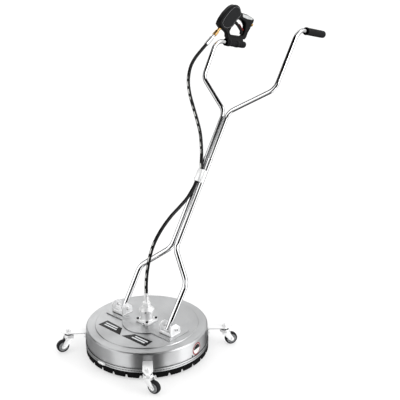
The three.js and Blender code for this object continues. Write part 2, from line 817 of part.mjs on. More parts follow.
addDeck();
addSwivel();
addRotor();
addCaster("front_left", -135, 250);
addCaster("front_right", -45, 8);
addCaster("rear_right", 45, 60);
addCaster("rear_left", 135, 172);
addHandle();
addGun();

// The origin is on the floor, half way along and across the whole machine.
const reach = new THREE.Box3().setFromObject(machine, true);
machine.position.y = -(reach.min.y + reach.max.y) / 2;

export default machine;
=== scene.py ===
"""Looks of the rotary surface cleaner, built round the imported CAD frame.

Shapes are worked out in millimetres in the machine's own frame: +Z up, the front at -Y, the swivel's
axis at x = y = 0 and the floor at z = 0. Left is -X and right is +X, as seen from the front.
piece() turns them into metres in the row frame.
"""
import json
import math
import random

import bpy
import bmesh
from mathutils import Matrix, Vector
from mathutils.geometry import tessellate_polygon


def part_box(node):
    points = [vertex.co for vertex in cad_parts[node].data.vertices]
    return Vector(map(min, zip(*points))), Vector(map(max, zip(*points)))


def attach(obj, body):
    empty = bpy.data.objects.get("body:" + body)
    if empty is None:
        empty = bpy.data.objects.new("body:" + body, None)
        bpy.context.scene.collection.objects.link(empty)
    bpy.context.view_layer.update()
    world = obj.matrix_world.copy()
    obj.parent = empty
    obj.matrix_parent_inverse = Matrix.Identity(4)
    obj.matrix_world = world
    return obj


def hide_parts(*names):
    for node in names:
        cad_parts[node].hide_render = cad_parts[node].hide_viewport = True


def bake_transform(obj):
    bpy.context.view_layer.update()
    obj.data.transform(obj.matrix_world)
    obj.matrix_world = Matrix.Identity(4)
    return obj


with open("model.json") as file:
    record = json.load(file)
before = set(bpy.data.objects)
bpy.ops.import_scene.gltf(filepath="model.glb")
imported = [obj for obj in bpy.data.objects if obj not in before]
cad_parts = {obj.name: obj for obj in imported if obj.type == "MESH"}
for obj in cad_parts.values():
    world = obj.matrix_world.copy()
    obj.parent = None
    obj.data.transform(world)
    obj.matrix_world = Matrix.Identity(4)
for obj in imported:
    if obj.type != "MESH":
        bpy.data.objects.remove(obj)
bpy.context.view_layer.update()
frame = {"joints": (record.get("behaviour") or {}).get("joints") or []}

MM = 0.001
TURN = 2 * math.pi
AXIS_X, AXIS_Y, AXIS_Z = Vector((1, 0, 0)), Vector((0, 1, 0)), Vector((0, 0, 1))

flange_low, flange_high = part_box("swivel_flange")
HUB = Vector(((flange_low.x + flange_high.x) / 2, (flange_low.y + flange_high.y) / 2, 0))
JOINTS = {joint["name"]: joint for joint in frame["joints"]}


def machine_point(row_point):
    """A point of the row frame, in metres, as millimetres in the machine's own frame."""
    return (Vector(row_point) - HUB) / MM


def joint_point(name):
    return machine_point(JOINTS[name]["pos_m"])


def low_z(node):
    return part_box(node)[0].z / MM


def high_z(node):
    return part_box(node)[1].z / MM


# ---------------------------------------------------------------- dimensions shared by the pieces
DECK_RADIUS, DECK_SHEET, DISC_RADIUS = 255, 2, 217
RIM_Z, DISC_TOP = low_z("deck_shell"), high_z("deck_shell")
DECK_TOP = DISC_TOP - 3
SHOULDER = 8
PLATE_TOP = high_z("top_plate")
FLANGE_LOW, FLANGE_TOP = low_z("swivel_flange"), high_z("swivel_flange")
BODY_TOP, COLLAR_TOP = high_z("swivel_body"), high_z("swivel_collar")
NUT_TOP, HOSE_EXIT_Z = high_z("swivel_nut"), high_z("hose_end_lower")
STEM_RADIUS = joint_point("caster_swivel_rear_right").xy.length
ARM_TOP = high_z("caster_arm_rear_right")
WHEEL_RADIUS, WHEEL_WIDTH = 27, 22

PIVOT = Vector((131, -5, 148))
KNEE = Vector((134, 101, 305))
WAIST = Vector((11.5, 170, 404))
CROTCH = Vector((11.5, 514, 932))
ELBOW = Vector((198, 592, 1045))
RISER_DIRECTION = Vector((0.029, 0.531, 0.847)).normalized()
RISER_LENGTH = {"left": 181, "right": 275}
GRIP_DIRECTION = Vector((0, 0.979, -0.205)).normalized()
GRIP_START = {"left": 66, "right": 57}
GRIP_RADIUS, GRIP_LENGTH = 15.5, 145
LOWER_TUBE, UPPER_TUBE, BEND_RADIUS = 11, 9.4, 60
SOCKET_SHARE, CLAMP_SHARE = 0.655, 0.52
HOSE_RADIUS, HOSE_LIFT = 7.25, 17
SIDES = {"left": -1, "right": 1}
GUN_DATUM = Vector((0, 815, 1264))
OUTLET_AXIS = Vector((0, -0.836, -0.549)).normalized()
INLET_AXIS = Vector((0, 0.82, -0.572)).normalized()


# ---------------------------------------------------------------- outlines, in millimetres
def fillet(corners, radius=1.0, steps=4):
    """A closed outline with rounded corners. A corner may carry its own radius as a third number."""
    rounded = []
    for i, corner in enumerate(corners):
        here = Vector(corner[:2])
        wanted = corner[2] if len(corner) > 2 else radius
        before = Vector(corners[i - 1][:2]) - here
        after = Vector(corners[(i + 1) % len(corners)][:2]) - here
        half = before.angle(after) / 2
        if wanted <= 0 or half > math.radians(88):
            rounded.append(tuple(here))
            continue
        inset = min(wanted / math.tan(half), 0.48 * before.length, 0.48 * after.length)
        size = inset * math.tan(half)
        middle = (before.normalized() + after.normalized()).normalized()
        centre = here + middle * (size / math.sin(half))
        start = here + before.normalized() * inset - centre
        end = here + after.normalized() * inset - centre
        first = math.atan2(start.y, start.x)
        sweep = (math.atan2(end.y, end.x) - first + math.pi) % TURN - math.pi
        for k in range(steps + 1):
            angle = first + sweep * k / steps
            rounded.append((centre.x + size * math.cos(angle), centre.y + size * math.sin(angle)))
    return rounded


def circle(radius, steps=32, x=0.0, y=0.0, clockwise=False):
    way = -1 if clockwise else 1
    angles = [way * TURN * i / steps for i in range(steps)]
    return [(x + radius * math.cos(a), y + radius * math.sin(a)) for a in angles]


def clockwise(outline):
    """The outline run clockwise, whichever way it came."""
    twice_area = sum(a[0] * b[1] - b[0] * a[1] for a, b in zip(outline, outline[1:] + outline[:1]))
    return outline if twice_area < 0 else turned_over(outline)


def turned_over(outline):
    """The same outline run the other way round."""
    return list(reversed(outline))


def inset(loop, distance):
    """A closed outline moved to its left by distance, which is inwards when it runs anticlockwise."""
    moved_loop = []
    for i, point in enumerate(loop):
        here = Vector(point)
        arrive = (here - Vector(loop[i - 1])).normalized()
        leave = (Vector(loop[(i + 1) % len(loop)]) - here).normalized()
        left = Vector((-arrive.y, arrive.x))
        middle = left + Vector((-leave.y, leave.x))
        middle = middle.normalized() if middle.length > 1e-6 else left
        moved_loop.append(tuple(here + middle * (distance / max(0.35, middle.dot(left)))))
    return moved_loop


# ---------------------------------------------------------------- meshes, as (vertices, faces)
def joined(*shapes):
    vertices, faces = [], []
    for more_vertices, more_faces in shapes:
        start = len(vertices)
        vertices += more_vertices
        faces += [tuple(start + i for i in face) for face in more_faces]
    return vertices, faces


def moved(shape, matrix):
    vertices, faces = shape
    return [matrix @ Vector(v) for v in vertices], faces


def shifted(shape, x=0.0, z=0.0):
    return moved(shape, Matrix.Translation((x, 0, z)))


def turned(shape, degrees, axis="Z"):
    return moved(shape, Matrix.Rotation(math.radians(degrees), 4, axis))


def aimed(origin, direction, across=None):
    """A frame at origin with its Z along direction and its X as near across as it can be."""
    up = Vector(direction).normalized()
    side = Vector(across) if across is not None else up.orthogonal()
    side = (side - up * side.dot(up)).normalized()
    matrix = Matrix((side, up.cross(side), up)).transposed().to_4x4()
    matrix.translation = Vector(origin)
    return matrix


def stacked(rings, closed=False):
    """Faces between rings of equal length, each ring joined up round."""
    size, count = len(rings[0]), len(rings)
    vertices = [Vector(v) for ring in rings for v in ring]
    faces = []
    for k in range(count if closed else count - 1):
        low, high = k * size, ((k + 1) % count) * size
        for i in range(size):
            j = (i + 1) % size
            faces.append((low + i, low + j, high + j, high + i))
    return vertices, faces


def ring(radius, z, steps):
    """A level circle of points about the Z axis."""
    return [(x, y, z) for x, y in circle(radius, steps)]


def lathe(profile, steps=96):
    """A closed [radius, z] outline turned about Z."""
    return stacked([ring(radius, z, steps) for radius, z in profile], closed=True)


def sleeve(inner, outer, low, high, edge=0.3, steps=2, sides=48):
    """A washer or sleeve with slightly rounded corners."""
    return lathe(fillet([(inner, low), (outer, low), (outer, high), (inner, high)], edge, steps), sides)


def capped(rings):
    """Rings joined up, with a flat face over each end."""
    vertices, faces = stacked(rings)
    size = len(rings[0])
    last = len(vertices) - size
    return vertices, [*faces, tuple(reversed(range(size))), tuple(range(last, last + size))]


def plate(outer, low, high, edge=0.5, holes=(), steps=3):
    """A flat plate from z low to high with rounded edges. outer runs anticlockwise and holes clockwise."""
    loops = [outer, *holes]
    sections = [(edge * (1 - math.sin(math.pi / 2 * k / steps)),
                 edge * (1 - math.cos(math.pi / 2 * k / steps))) for k in range(steps + 1)]
    levels = [(inward, low + rise) for inward, rise in sections]
    levels += [(inward, high - rise) for inward, rise in reversed(sections)]
    shapes = [stacked([[(x, y, z) for x, y in inset(loop, inward)] for inward, z in levels])
              for loop in loops]
    for z, order in ((low, -1), (high, 1)):
        flat = [[Vector((x, y, z)) for x, y in inset(loop, edge)] for loop in loops]
        shapes.append(filled(flat, order))
    return joined(*shapes)


def filled(loops, order=1):
    """A flat face over loops, facing +Z, or the other way where order is -1."""
    return [v for loop in loops for v in loop], [triangle[::order] for triangle in tessellate(loops)]


def tessellate(loops):
    """Triangles that fill flat loops, wound anticlockwise seen from +Z."""
    points = [v for loop in loops for v in loop]
    triangles = []
    for a, b, c in tessellate_polygon(loops):
        area = (points[b] - points[a]).cross(points[c] - points[a]).z
        if abs(area) > 1e-9:
            triangles.append((a, b, c) if area > 0 else (a, c, b))
    return triangles


def box(x0, x1, y0, y1, z0, z1, edge=0.4):
    return plate([(x0, y0), (x1, y0), (x1, y1), (x0, y1)], z0, z1, edge, steps=2)


def rod(radius, low, high, edge=0.5, steps=32):
    return lathe(fillet([(0, low, 0), (radius, low), (radius, high), (0, high, 0)], edge, 3), steps)


def hexagon(across, low, high, chamfer=1.2, bore=0.0):
    """A hexagonal nut or head of that width across its flats, its corners chamfered at both ends."""
    steps = 72
    slope = math.tan(math.radians(30))
    levels = [(low, 0.0), (low + chamfer * slope, chamfer), (low + 3 * chamfer * slope, 3 * chamfer)]
    levels += [(high + low - z, reach) for z, reach in reversed(levels)]
    rings = []
    for z, reach in levels:
        outer = []
        for angle in (TURN * i / steps for i in range(steps)):
            flat = (angle + math.pi / 6) % (math.pi / 3) - math.pi / 6
            radius = min(across / 2 / math.cos(flat), across / 2 - 0.3 + reach)
            outer.append((radius * math.cos(angle), radius * math.sin(angle), z))
        rings.append(outer)
    rings += [ring(bore, z, steps) for z in (high, low)]
    return stacked(rings, closed=True)


def bend(corners, radius, steps=12):
    """Points along straight runs joined by round bends."""
    points = [Vector(corners[0])]
    for i in range(1, len(corners) - 1):
        here = Vector(corners[i])
        before = (Vector(corners[i - 1]) - here).normalized()
        after = (Vector(corners[i + 1]) - here).normalized()
        half = before.angle(after) / 2
        centre = here + (before + after).normalized() * (radius / math.sin(half))
        spoke = here + before * (radius / math.tan(half)) - centre
        axis = before.cross(after).normalized()
        for k in range(steps + 1):
            turn = Matrix.Rotation(-(math.pi - 2 * half) * k / steps, 3, axis)
            points.append(centre + turn @ spoke)
    points.append(Vector(corners[-1]))
    return points


def tube(points, radius, sides, edge):
    """A round solid rod along points, with rounded ends."""
    points = [Vector(p) for p in points]
    start, end = (points[1] - points[0]).normalized(), (points[-1] - points[-2]).normalized()
    route = [points[0], points[0] + start * edge, *points[1:-1], points[-1] - end * edge, points[-1]]
    radii = [radius - edge, *[radius] * (len(route) - 2), radius - edge]
    headings = [start, start]
    for i in range(2, len(route) - 2):
        arrive, leave = route[i] - route[i - 1], route[i + 1] - route[i]
        headings.append((arrive.normalized() + leave.normalized()).normalized())
    headings += [end, end]
    side = start.orthogonal().normalized()
    rings = []
    for where, heading, size in zip(route, headings, radii):
        side = (side - heading * side.dot(heading)).normalized()
        other = heading.cross(side)
        rings.append([where + size * (side * math.cos(TURN * i / sides) + other * math.sin(TURN * i / sides))
                      for i in range(sides)])
    return capped(rings)


# ---------------------------------------------------------------- pieces
def piece(name, shape, look, body, place=None, stands_for=(), crease=38):
    """One object of the model, riding on a CAD body. place is its own frame in the machine, in mm."""
    material, slot = LOOKS[look]
    vertices, faces = shape
    mesh = bpy.data.meshes.new(name)
    mesh.from_pydata([Vector(v) * MM for v in vertices], [], faces)
    work = bmesh.new()
    work.from_mesh(mesh)
    bmesh.ops.remove_doubles(work, verts=work.verts, dist=1e-6)
    loose = [e for e in work.edges if not e.link_faces]
    bmesh.ops.delete(work, geom=loose, context="EDGES")
    bmesh.ops.recalc_face_normals(work, faces=work.faces)
    work.to_mesh(mesh)
    work.free()
    mesh.validate()
    mesh.materials.append(material)
    mesh.shade_smooth()
    mesh.set_sharp_from_angle(angle=math.radians(crease))
    made = bpy.data.objects.new(name, mesh)
    bpy.context.scene.collection.objects.link(made)
    matrix = place.copy() if place is not None else Matrix.Identity(4)
    matrix.translation = matrix.translation * MM + HUB
    made.matrix_world = matrix
    if body is not None:
        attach(made, body)
    if stands_for:
        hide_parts(*stands_for)
    return made


# ---------------------------------------------------------------- materials
def add_node(tree, kind, inputs=(), **settings):
    """A shader node with its settings made and its inputs set, or linked where they are sockets."""
    made = tree.nodes.new("ShaderNode" + kind)
    for key, value in settings.items():
        setattr(made, key, value)
    for key, value in dict(inputs).items():
        if isinstance(value, bpy.types.NodeSocket):
            tree.links.new(value, made.inputs[key])
        else:
            made.inputs[key].default_value = value
    return made


class Surface:
    """A procedural material built on one Principled shader. Scales are per metre, in the piece's frame."""

    def __init__(self, name, metallic=0.0, **constant):
        self.material = bpy.data.materials.new(name)
        self.material.use_nodes = True
        self.tree = self.material.node_tree
        self.shader = self.tree.nodes["Principled BSDF"]
        self.shader.inputs["Metallic"].default_value = metallic
        for socket, value in constant.items():
            self.shader.inputs[socket.replace("_", " ")].default_value = value

    def node(self, kind, inputs=(), **settings):
        return add_node(self.tree, kind, inputs, **settings)

    def math(self, operation, a, b=0.0):
        return self.node("Math", {0: a, 1: b}, operation=operation).outputs[0]

    def local(self, stretch=(1, 1, 1)):
        """The piece's own coordinates, in metres, stretched."""
        where = self.node("TexCoord").outputs["Object"]
        return self.node("Mapping", {"Vector": where, "Scale": stretch}).outputs[0]

    def rings(self):
        """Coordinates that run fast across a turned part's rings and slowly round its Z axis."""
        round_share = 0.004
        x, y, z = self.node("SeparateXYZ", {0: self.local()}).outputs
        radius = self.math("SQRT", self.math("ADD", self.math("MULTIPLY", x, x), self.math("MULTIPLY", y, y)))
        safe = self.math("MAXIMUM", radius, 1e-4)
        unit = [self.math("MULTIPLY", self.math("DIVIDE", way, safe), round_share) for way in (x, y)]
        return self.node("CombineXYZ", {0: unit[0], 1: unit[1], 2: self.math("ADD", radius, z)}).outputs[0]

    def noise(self, where, scale, detail=3.0, roughness=0.55, distortion=0.0):
        inputs = {"Vector": where, "Scale": scale, "Detail": detail, "Roughness": roughness,
                  "Distortion": distortion}
        return self.node("TexNoise", inputs).outputs["Fac"]

    def between(self, factor, low, high, start=0.3, end=0.7):
        inputs = {0: factor, 1: start, 2: end, 3: low, 4: high}
        return self.node("MapRange", inputs, clamp=True).outputs[0]

    def tint(self, factor, low, high, start=0.3, end=0.7):
        share = self.between(factor, 0.0, 1.0, start, end)
        made = self.node("Mix", data_type="RGBA")
        self.tree.links.new(share, made.inputs["Factor"])
        for socket, value in (("A", low), ("B", high)):
            target = next(s for s in made.inputs if s.name == socket and s.type == "RGBA")
            if isinstance(value, bpy.types.NodeSocket):
                self.tree.links.new(value, target)
            else:
                target.default_value = (*value, 1.0)
        return next(s for s in made.outputs if s.type == "RGBA")

    def edges(self, low=0.0, high=1.0):
        """0 on flats and hollows, 1 on outer edges, which the looks lighten partly as wear and partly as
        painted highlight.
        """
        return self.between(self.node("NewGeometry").outputs["Pointiness"], low, high, 0.51, 0.56)

    def bump(self, height, strength, distance):
        inputs = {"Height": height, "Strength": strength, "Distance": distance}
        return self.node("Bump", inputs).outputs[0]

    def turned(self):
        """Stretches the highlights round Z, across the marks that a lathe or a round brush leaves."""
        tangent = self.node("Tangent", direction_type="RADIAL", axis="Z").outputs[0]
        self.tree.links.new(tangent, self.shader.inputs["Tangent"])

    def finish(self, colour, roughness, normal=None):
        self.tree.links.new(colour, self.shader.inputs["Base Color"])
        self.tree.links.new(roughness, self.shader.inputs["Roughness"])
        if normal is not None:
            self.tree.links.new(normal, self.shader.inputs["Normal"])
        return self.material


EVEN = (1, 1, 1)
MATT = {"Specular_IOR_Level": 0.12}


def worked(name, metallic, broad, colours, gloss, marks, fine=None, ripple=None, turned=False, **constant):
    """A surface of a broad noise for colour and gloss, and a fine one for the marks of its making.

    A noise is its coordinates ("rings", or the stretch of the piece's own) and its numbers. gloss is
    the range of roughness, ripple what the fine noise adds to it, and marks the bump.
    """
    s = Surface(name, metallic, **constant)

    def noise(where, *numbers):
        return s.noise(s.rings() if where == "rings" else s.local(where), *numbers)

    cloud = noise(*broad)
    lines = noise(*fine) if fine else cloud
    roughness = s.between(cloud, *gloss)
    if ripple:
        roughness = s.math("ADD", roughness, s.between(lines, *ripple))
    if turned:
        s.turned()
    return s.finish(s.tint(cloud, *colours), roughness, s.bump(lines, *marks))


def round_brushed_steel():
    s = Surface("round_brushed_steel", 1.0, Anisotropic=0.85, Anisotropic_Rotation=0.25)
    fine = s.noise(s.rings(), 900, 4)
    broad = s.noise(s.local(), 9, 3)
    smudge = s.noise(s.local(), 38, 4, 0.6, 0.4)
    colour = s.tint(broad, (0.50, 0.505, 0.51), (0.56, 0.565, 0.57))
    roughness = s.math("ADD", s.between(smudge, 0.31, 0.38), s.between(fine, -0.04, 0.05))
    s.turned()
    return s.finish(colour, roughness, s.bump(fine, 0.10, 0.0004))


def zinc_plate():
    s = Surface("zinc_plate", 0.6)
    cloud = s.noise(s.local(), 55, 3, 0.5)
    grain = s.noise(s.local(), 1500, 3)
    worn_and_sheen = s.edges()
    plated = s.tint(cloud, (0.88, 0.885, 0.89), (0.94, 0.94, 0.94))
    # Outer edges go lighter: partly wear, partly a painted highlight.
    colour = s.tint(worn_and_sheen, plated, (0.97, 0.97, 0.97), 0.0, 1.0)
    roughness = s.math("SUBTRACT", s.between(cloud, 0.40, 0.47), s.math("MULTIPLY", worn_and_sheen, 0.08))
    return s.finish(colour, roughness, s.bump(grain, 0.05, 0.0001))


def moulded(name, dark, light, rough, grain_scale=1400, grain=0.25, rub_and_sheen=1.5, **constant):
    """Moulded plastic or rubber: a spark-eroded grain, faint mottling and lighter edges, partly wear from
    rubbing and partly painted highlight.
    """
    s = Surface(name, 0.0, **constant)
    mottle = s.noise(s.local(), 45, 4, 0.6)
    pits = s.noise(s.local(), grain_scale, 3, 0.6)
    base = s.tint(mottle, dark, light)
    # Outer edges go lighter: partly wear, partly a painted highlight.
    rubbed_and_sheen = tuple(min(1.0, rub_and_sheen * channel + 0.003) for channel in light)
    colour = s.tint(s.edges(0.0, 0.6), base, rubbed_and_sheen, 0.0, 1.0)
    roughness = s.math("ADD", s.between(mottle, rough - 0.06, rough + 0.06), s.between(pits, -0.05, 0.05))
    return s.finish(colour, roughness, s.bump(pits, grain, 0.00025))


def printed_hose():
    """Smooth black cover with one dashed pale lay line. along and facing are stored on the mesh."""
    s = Surface("printed_hose", 0.0, Specular_IOR_Level=0.2)
    along, facing = (s.node("Attribute", attribute_name=name).outputs["Fac"] for name in ("along", "facing"))
    mottle = s.noise(s.local(), 60, 3)
    fibre = s.noise(s.local(), 1100, 2)
    cover = s.tint(mottle, (0.002, 0.002, 0.0022), (0.005, 0.005, 0.0055))
    dash = s.math("LESS_THAN", s.math("FRACT", s.math("MULTIPLY", along, 1 / 0.034)), 0.62)
    patch = s.between(s.noise(s.local(), 9, 2), 0.0, 1.0, 0.42, 0.50)
    stripe = s.math("MULTIPLY", s.math("GREATER_THAN", facing, 0.94), s.math("MULTIPLY", dash, patch))
    colour = s.tint(stripe, cover, (0.62, 0.62, 0.60), 0.0, 1.0)
    return s.finish(colour, s.between(mottle, 0.30, 0.42), s.bump(fibre, 0.12, 0.0002))


def ink(name, dark, light, rough=0.4, **constant):
    return moulded(name, dark, light, rough, 800, 0.1, **constant)


# Each look is a material and the slot of the CAD part that it fills.
LOOKS = {
    "deck": (round_brushed_steel(), "brushed_stainless"),
    "zinc": (zinc_plate(), "zinc_plate"),
    "hose": (printed_hose(), "hose_rubber"),
    "sheet": (worked("straight_brushed_steel", 1.0, (EVEN, 14, 3), ((0.52, 0.525, 0.53), (0.58, 0.585, 0.59)),
                     gloss=(0.27, 0.33), fine=((0.02, 1, 1), 1400, 3), ripple=(-0.04, 0.04),
                     marks=(0.04, 0.0002), Anisotropic=0.4), "brushed_stainless"),
    "cast": (worked("turned_metal", 0.6, (EVEN, 40, 3), ((0.89, 0.895, 0.90), (0.95, 0.95, 0.95)),
                    gloss=(0.40, 0.46), fine=("rings", 1800, 3), ripple=(-0.05, 0.05), marks=(0.06, 0.0002),
                    turned=True, Anisotropic=0.35, Anisotropic_Rotation=0.25), "cast_swivel"),
    "chrome": (worked("chrome_plate", 1.0, (EVEN, 24, 4, 0.6, 0.5),
                      ((0.78, 0.785, 0.79), (0.84, 0.84, 0.845)), gloss=(0.04, 0.07),
                      fine=((1, 0.25, 0.25), 700, 2), ripple=(0.0, 0.02),
                      marks=(0.03, 0.00005), Specular_Tint=(0.08, 0.08, 0.09, 1.0)), "chrome_tube"),
    "bearing": (worked("bearing_steel", 1.0, ("rings", 2600, 2), ((0.55, 0.56, 0.58), (0.66, 0.67, 0.68)),
                       gloss=(0.14, 0.24), marks=(0.08, 0.0001)), "bearing_steel"),
    "brass": (worked("machined_brass", 1.0, (EVEN, 90, 4, 0.6), ((0.56, 0.32, 0.11), (0.80, 0.54, 0.24)),
                     gloss=(0.20, 0.34), fine=("rings", 2200, 2), ripple=(-0.04, 0.04),
                     marks=(0.10, 0.0001)), "brass"),
    "oxide": (worked("black_oxide", 0.4, (EVEN, 220, 4), ((0.004, 0.004, 0.0045), (0.014, 0.014, 0.015)),
                     gloss=(0.35, 0.5), marks=(0.1, 0.0001), Specular_IOR_Level=0.3), "zinc_plate"),
    "bristle": (worked("bristle_nylon", 0.0, ((1, 1, 0.06), 620, 3, 0.6),
                       ((0.0015, 0.0015, 0.0015), (0.008, 0.008, 0.0085)), gloss=(0.5, 0.75),
                       marks=(0.6, 0.001), Specular_IOR_Level=0.04), "bristle"),
    "tread": (moulded("wheel_tread", (0.008, 0.008, 0.009), (0.016, 0.016, 0.018), 0.5, 900, **MATT),
              "wheel_tread"),
    "wheel": (moulded("wheel_core", (0.17, 0.175, 0.18), (0.25, 0.255, 0.26), 0.4), "wheel_tread"),
    "grip": (moulded("grip_rubber", (0.003, 0.003, 0.0035), (0.007, 0.007, 0.008), 0.55, 1100, **MATT),
             "black_rubber"),
    "gun": (moulded("gun_nylon", (0.0015, 0.0015, 0.0017), (0.004, 0.004, 0.0045), 0.42, **MATT),
            "black_plastic"),
    # The panel plastic is lighter than the gun's: partly its own tone, partly painted light on the side
    # faces.
    "panel": (moulded("gun_panel_painted_light", (0.005, 0.0053, 0.006), (0.009, 0.0093, 0.0105), 0.5, rub_and_sheen=1.0, **MATT),
              "black_plastic"),
    "insert": (moulded("grip_insert", (0.40, 0.41, 0.41), (0.56, 0.57, 0.57), 0.25), "black_plastic"),
    "lock": (moulded("lock_plastic", (0.14, 0.003, 0.005), (0.20, 0.006, 0.008), 0.35, **MATT),
             "red_plastic"),
    "enamel": (ink("label_enamel", (0.003, 0.003, 0.003), (0.006, 0.006, 0.006), 0.3, **MATT),
               "black_plastic"),
    "silver_ink": (ink("label_silver", (0.40, 0.41, 0.42), (0.50, 0.51, 0.52)), "black_plastic"),
    "white_ink": (ink("label_white", (0.74, 0.74, 0.73), (0.84, 0.84, 0.83)), "black_plastic"),
    "red_ink": (ink("label_red", (0.19, 0.004, 0.008), (0.25, 0.007, 0.011), **MATT), "red_plastic"),
}


# ---------------------------------------------------------------- camera
CAMERA_PLACE = Vector((2088.4, -2062.6, 1725.7))
CAMERA_AZIMUTH, CAMERA_ELEVATION = math.radians(40.99), math.radians(19.90)
CAMERA_LENS = 70.4


def add_camera():
    data = bpy.data.cameras.new("camera")
    data.lens = CAMERA_LENS
    data.sensor_width = 36
    data.clip_start, data.clip_end = 0.05, 100
    camera = bpy.data.objects.new("camera", data)
    flat = math.cos(CAMERA_ELEVATION)
    look = Vector((-math.sin(CAMERA_AZIMUTH) * flat, math.cos(CAMERA_AZIMUTH) * flat,
                   -math.sin(CAMERA_ELEVATION)))
    camera.location = CAMERA_PLACE * MM + HUB
    camera.rotation_mode = "QUATERNION"
    camera.rotation_quaternion = look.to_track_quat("-Z", "Y")
    bpy.context.scene.collection.objects.link(camera)
    bpy.context.scene.camera = camera


# ---------------------------------------------------------------- hose
def along_middle(share, front=0.0, up=0.0):
    """A point by the two middle runs: share of the way up them, front of their plane, up along them."""
    run = (CROTCH - WAIST).normalized()
    ahead = AXIS_X.cross(run).normalized()
    middle = WAIST.lerp(CROTCH, share)
    middle.x = 0
    return middle + ahead * front + run * up


def riser_top(name):
    top = ELBOW + RISER_DIRECTION * RISER_LENGTH[name]
    return Vector((SIDES[name] * top.x, top.y, top.z))


GUN_X = riser_top("left").x
GUN = Vector((GUN_X, GUN_DATUM.y, GUN_DATUM.z))
OUTLET = Vector((GUN_X, GUN.y - 100, GUN.z - 10))
CLAMP_LENGTH = 55
HOSE_STOPS = [
    Vector((0, 0, HOSE_EXIT_Z + 0.3)), Vector((0, 1, 290)), Vector((0, 5, 330)), Vector((0, 14, 372)),
    Vector((0, 29, 418)), Vector((0, 56, 466)), Vector((0, 98, 510)), Vector((0, 156, 551)),
    Vector((0, 214, 580)), Vector((0, 264, 609)),
    along_middle(CLAMP_SHARE, HOSE_LIFT, -CLAMP_LENGTH / 2),
    along_middle(CLAMP_SHARE, HOSE_LIFT),
    along_middle(CLAMP_SHARE, HOSE_LIFT, CLAMP_LENGTH / 2),
    Vector((-8, 358, 735)), Vector((-26, 381, 763)), Vector((-43, 399, 800)), Vector((-63, 414, 849)),
    Vector((-90, 424, 901)), Vector((-118, 431, 953)), Vector((-146, 441, 1003)),
    Vector((-170, 459, 1053)), Vector((-188, 492, 1103)), Vector((-199, 534, 1137)),
    OUTLET + OUTLET_AXIS * 118,
]


def centripetal(stops, steps=8):
    """Points on the centripetal Catmull-Rom curve through the stops."""
    ends = [2 * stops[0] - stops[1], *stops, 2 * stops[-1] - stops[-2]]
    points = []
    for i in range(1, len(ends) - 2):
        before, start, end, after = ends[i - 1:i + 3]
        first, middle, last = (math.sqrt((q - p).length) for p, q in
                               ((before, start), (start, end), (end, after)))
        leave = (start - before) / first - (end - before) / (first + middle) + (end - start) / middle
        arrive = (end - start) / middle - (after - start) / (middle + last) + (after - end) / last
        leave, arrive = leave * middle, arrive * middle
        for k in range(steps):
            t = k / steps
            points.append(
                start * (2 * t ** 3 - 3 * t ** 2 + 1) + leave * (t ** 3 - 2 * t ** 2 + t)
                + end * (3 * t ** 2 - 2 * t ** 3) + arrive * (t ** 3 - t ** 2)
            )
    points.append(ends[-2].copy())
    return points


def add_hose():
    sides = 28
    route = centripetal(HOSE_STOPS)
    made = piece("pressure_hose", tube(route, HOSE_RADIUS, sides, edge=0.4), "hose", None,
                 stands_for=["hose"])
    store_print(made, route, sides)
    path = [tuple(p * MM + HUB) for p in route]
    tuple(path[0])
    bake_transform(made)
    tuple(path[0])


PRINT_SIDE = Vector((0.16, -0.94, 0.29)).normalized()


def store_print(made, route, sides):
    """Stores how far along the hose each point is, and how squarely it faces the printed lay line."""
    travelled = [0.0]
    for a, b in zip(route, route[1:]):
        travelled.append(travelled[-1] + (b - a).length)
    travelled = [travelled[0], *travelled, travelled[-1]]
    along = made.data.attributes.new("along", "FLOAT", "POINT")
    facing = made.data.attributes.new("facing", "FLOAT", "POINT")
    for i in range(len(made.data.vertices)):
        row = min(i // sides, len(travelled) - 1)
        along.data[i].value = travelled[row] * MM
        outward = made.data.vertices[i].co / MM - route[max(0, min(row - 1, len(route) - 1))]
        facing.data[i].value = outward.normalized().dot(PRINT_SIDE)


# ---------------------------------------------------------------- studio
# Dark flags and soft boxes in the white surroundings, which the polished parts reflect. Each is
# (degrees round from the camera's direction, half width, lowest and highest degrees up, brightness).
STUDIO_PATCHES = [
    (-125, 35, -90, 8, 0.42),
    (-78, 14, -90, 8, 0.62),
    (-44, 17, -90, 20, 1.30),
    (3, 30, -90, -4, 0.22),
    (70, 30, -90, 40, 1.90),
    (116, 18, -90, 12, 0.70),
    (158, 24, -90, 2, 0.04),
    (180, 34, -90, 2, 0.08),
    (163, 17, 4, 34, 0.76),
    (-163, 17, 4, 34, 1.36),
    (180, 16, 40, 62, 1.45),
    (108, 22, 42, 58, 2.60),
    (12, 34, -14, 33, 0.0),
    (52, 10, -22, 6, 0.0),
    (-47, 66, 41, 66, 0.0),
    (6, 18, 33, 42, 0.0),
    (-95, 25, 36, 42, 0.0),
    (-128, 26, 16, 43, 0.0),
    (146, 16, 36, 72, 0.0),
    (0, 180, 64, 95, 0.0),
    (0, 180, -95, -62, 0.05),
]
SURROUNDINGS, PATCH_SOFTNESS = 1.25, 4
SEEN_WHITE, DIFFUSE_WHITE = 1.0, 1.08


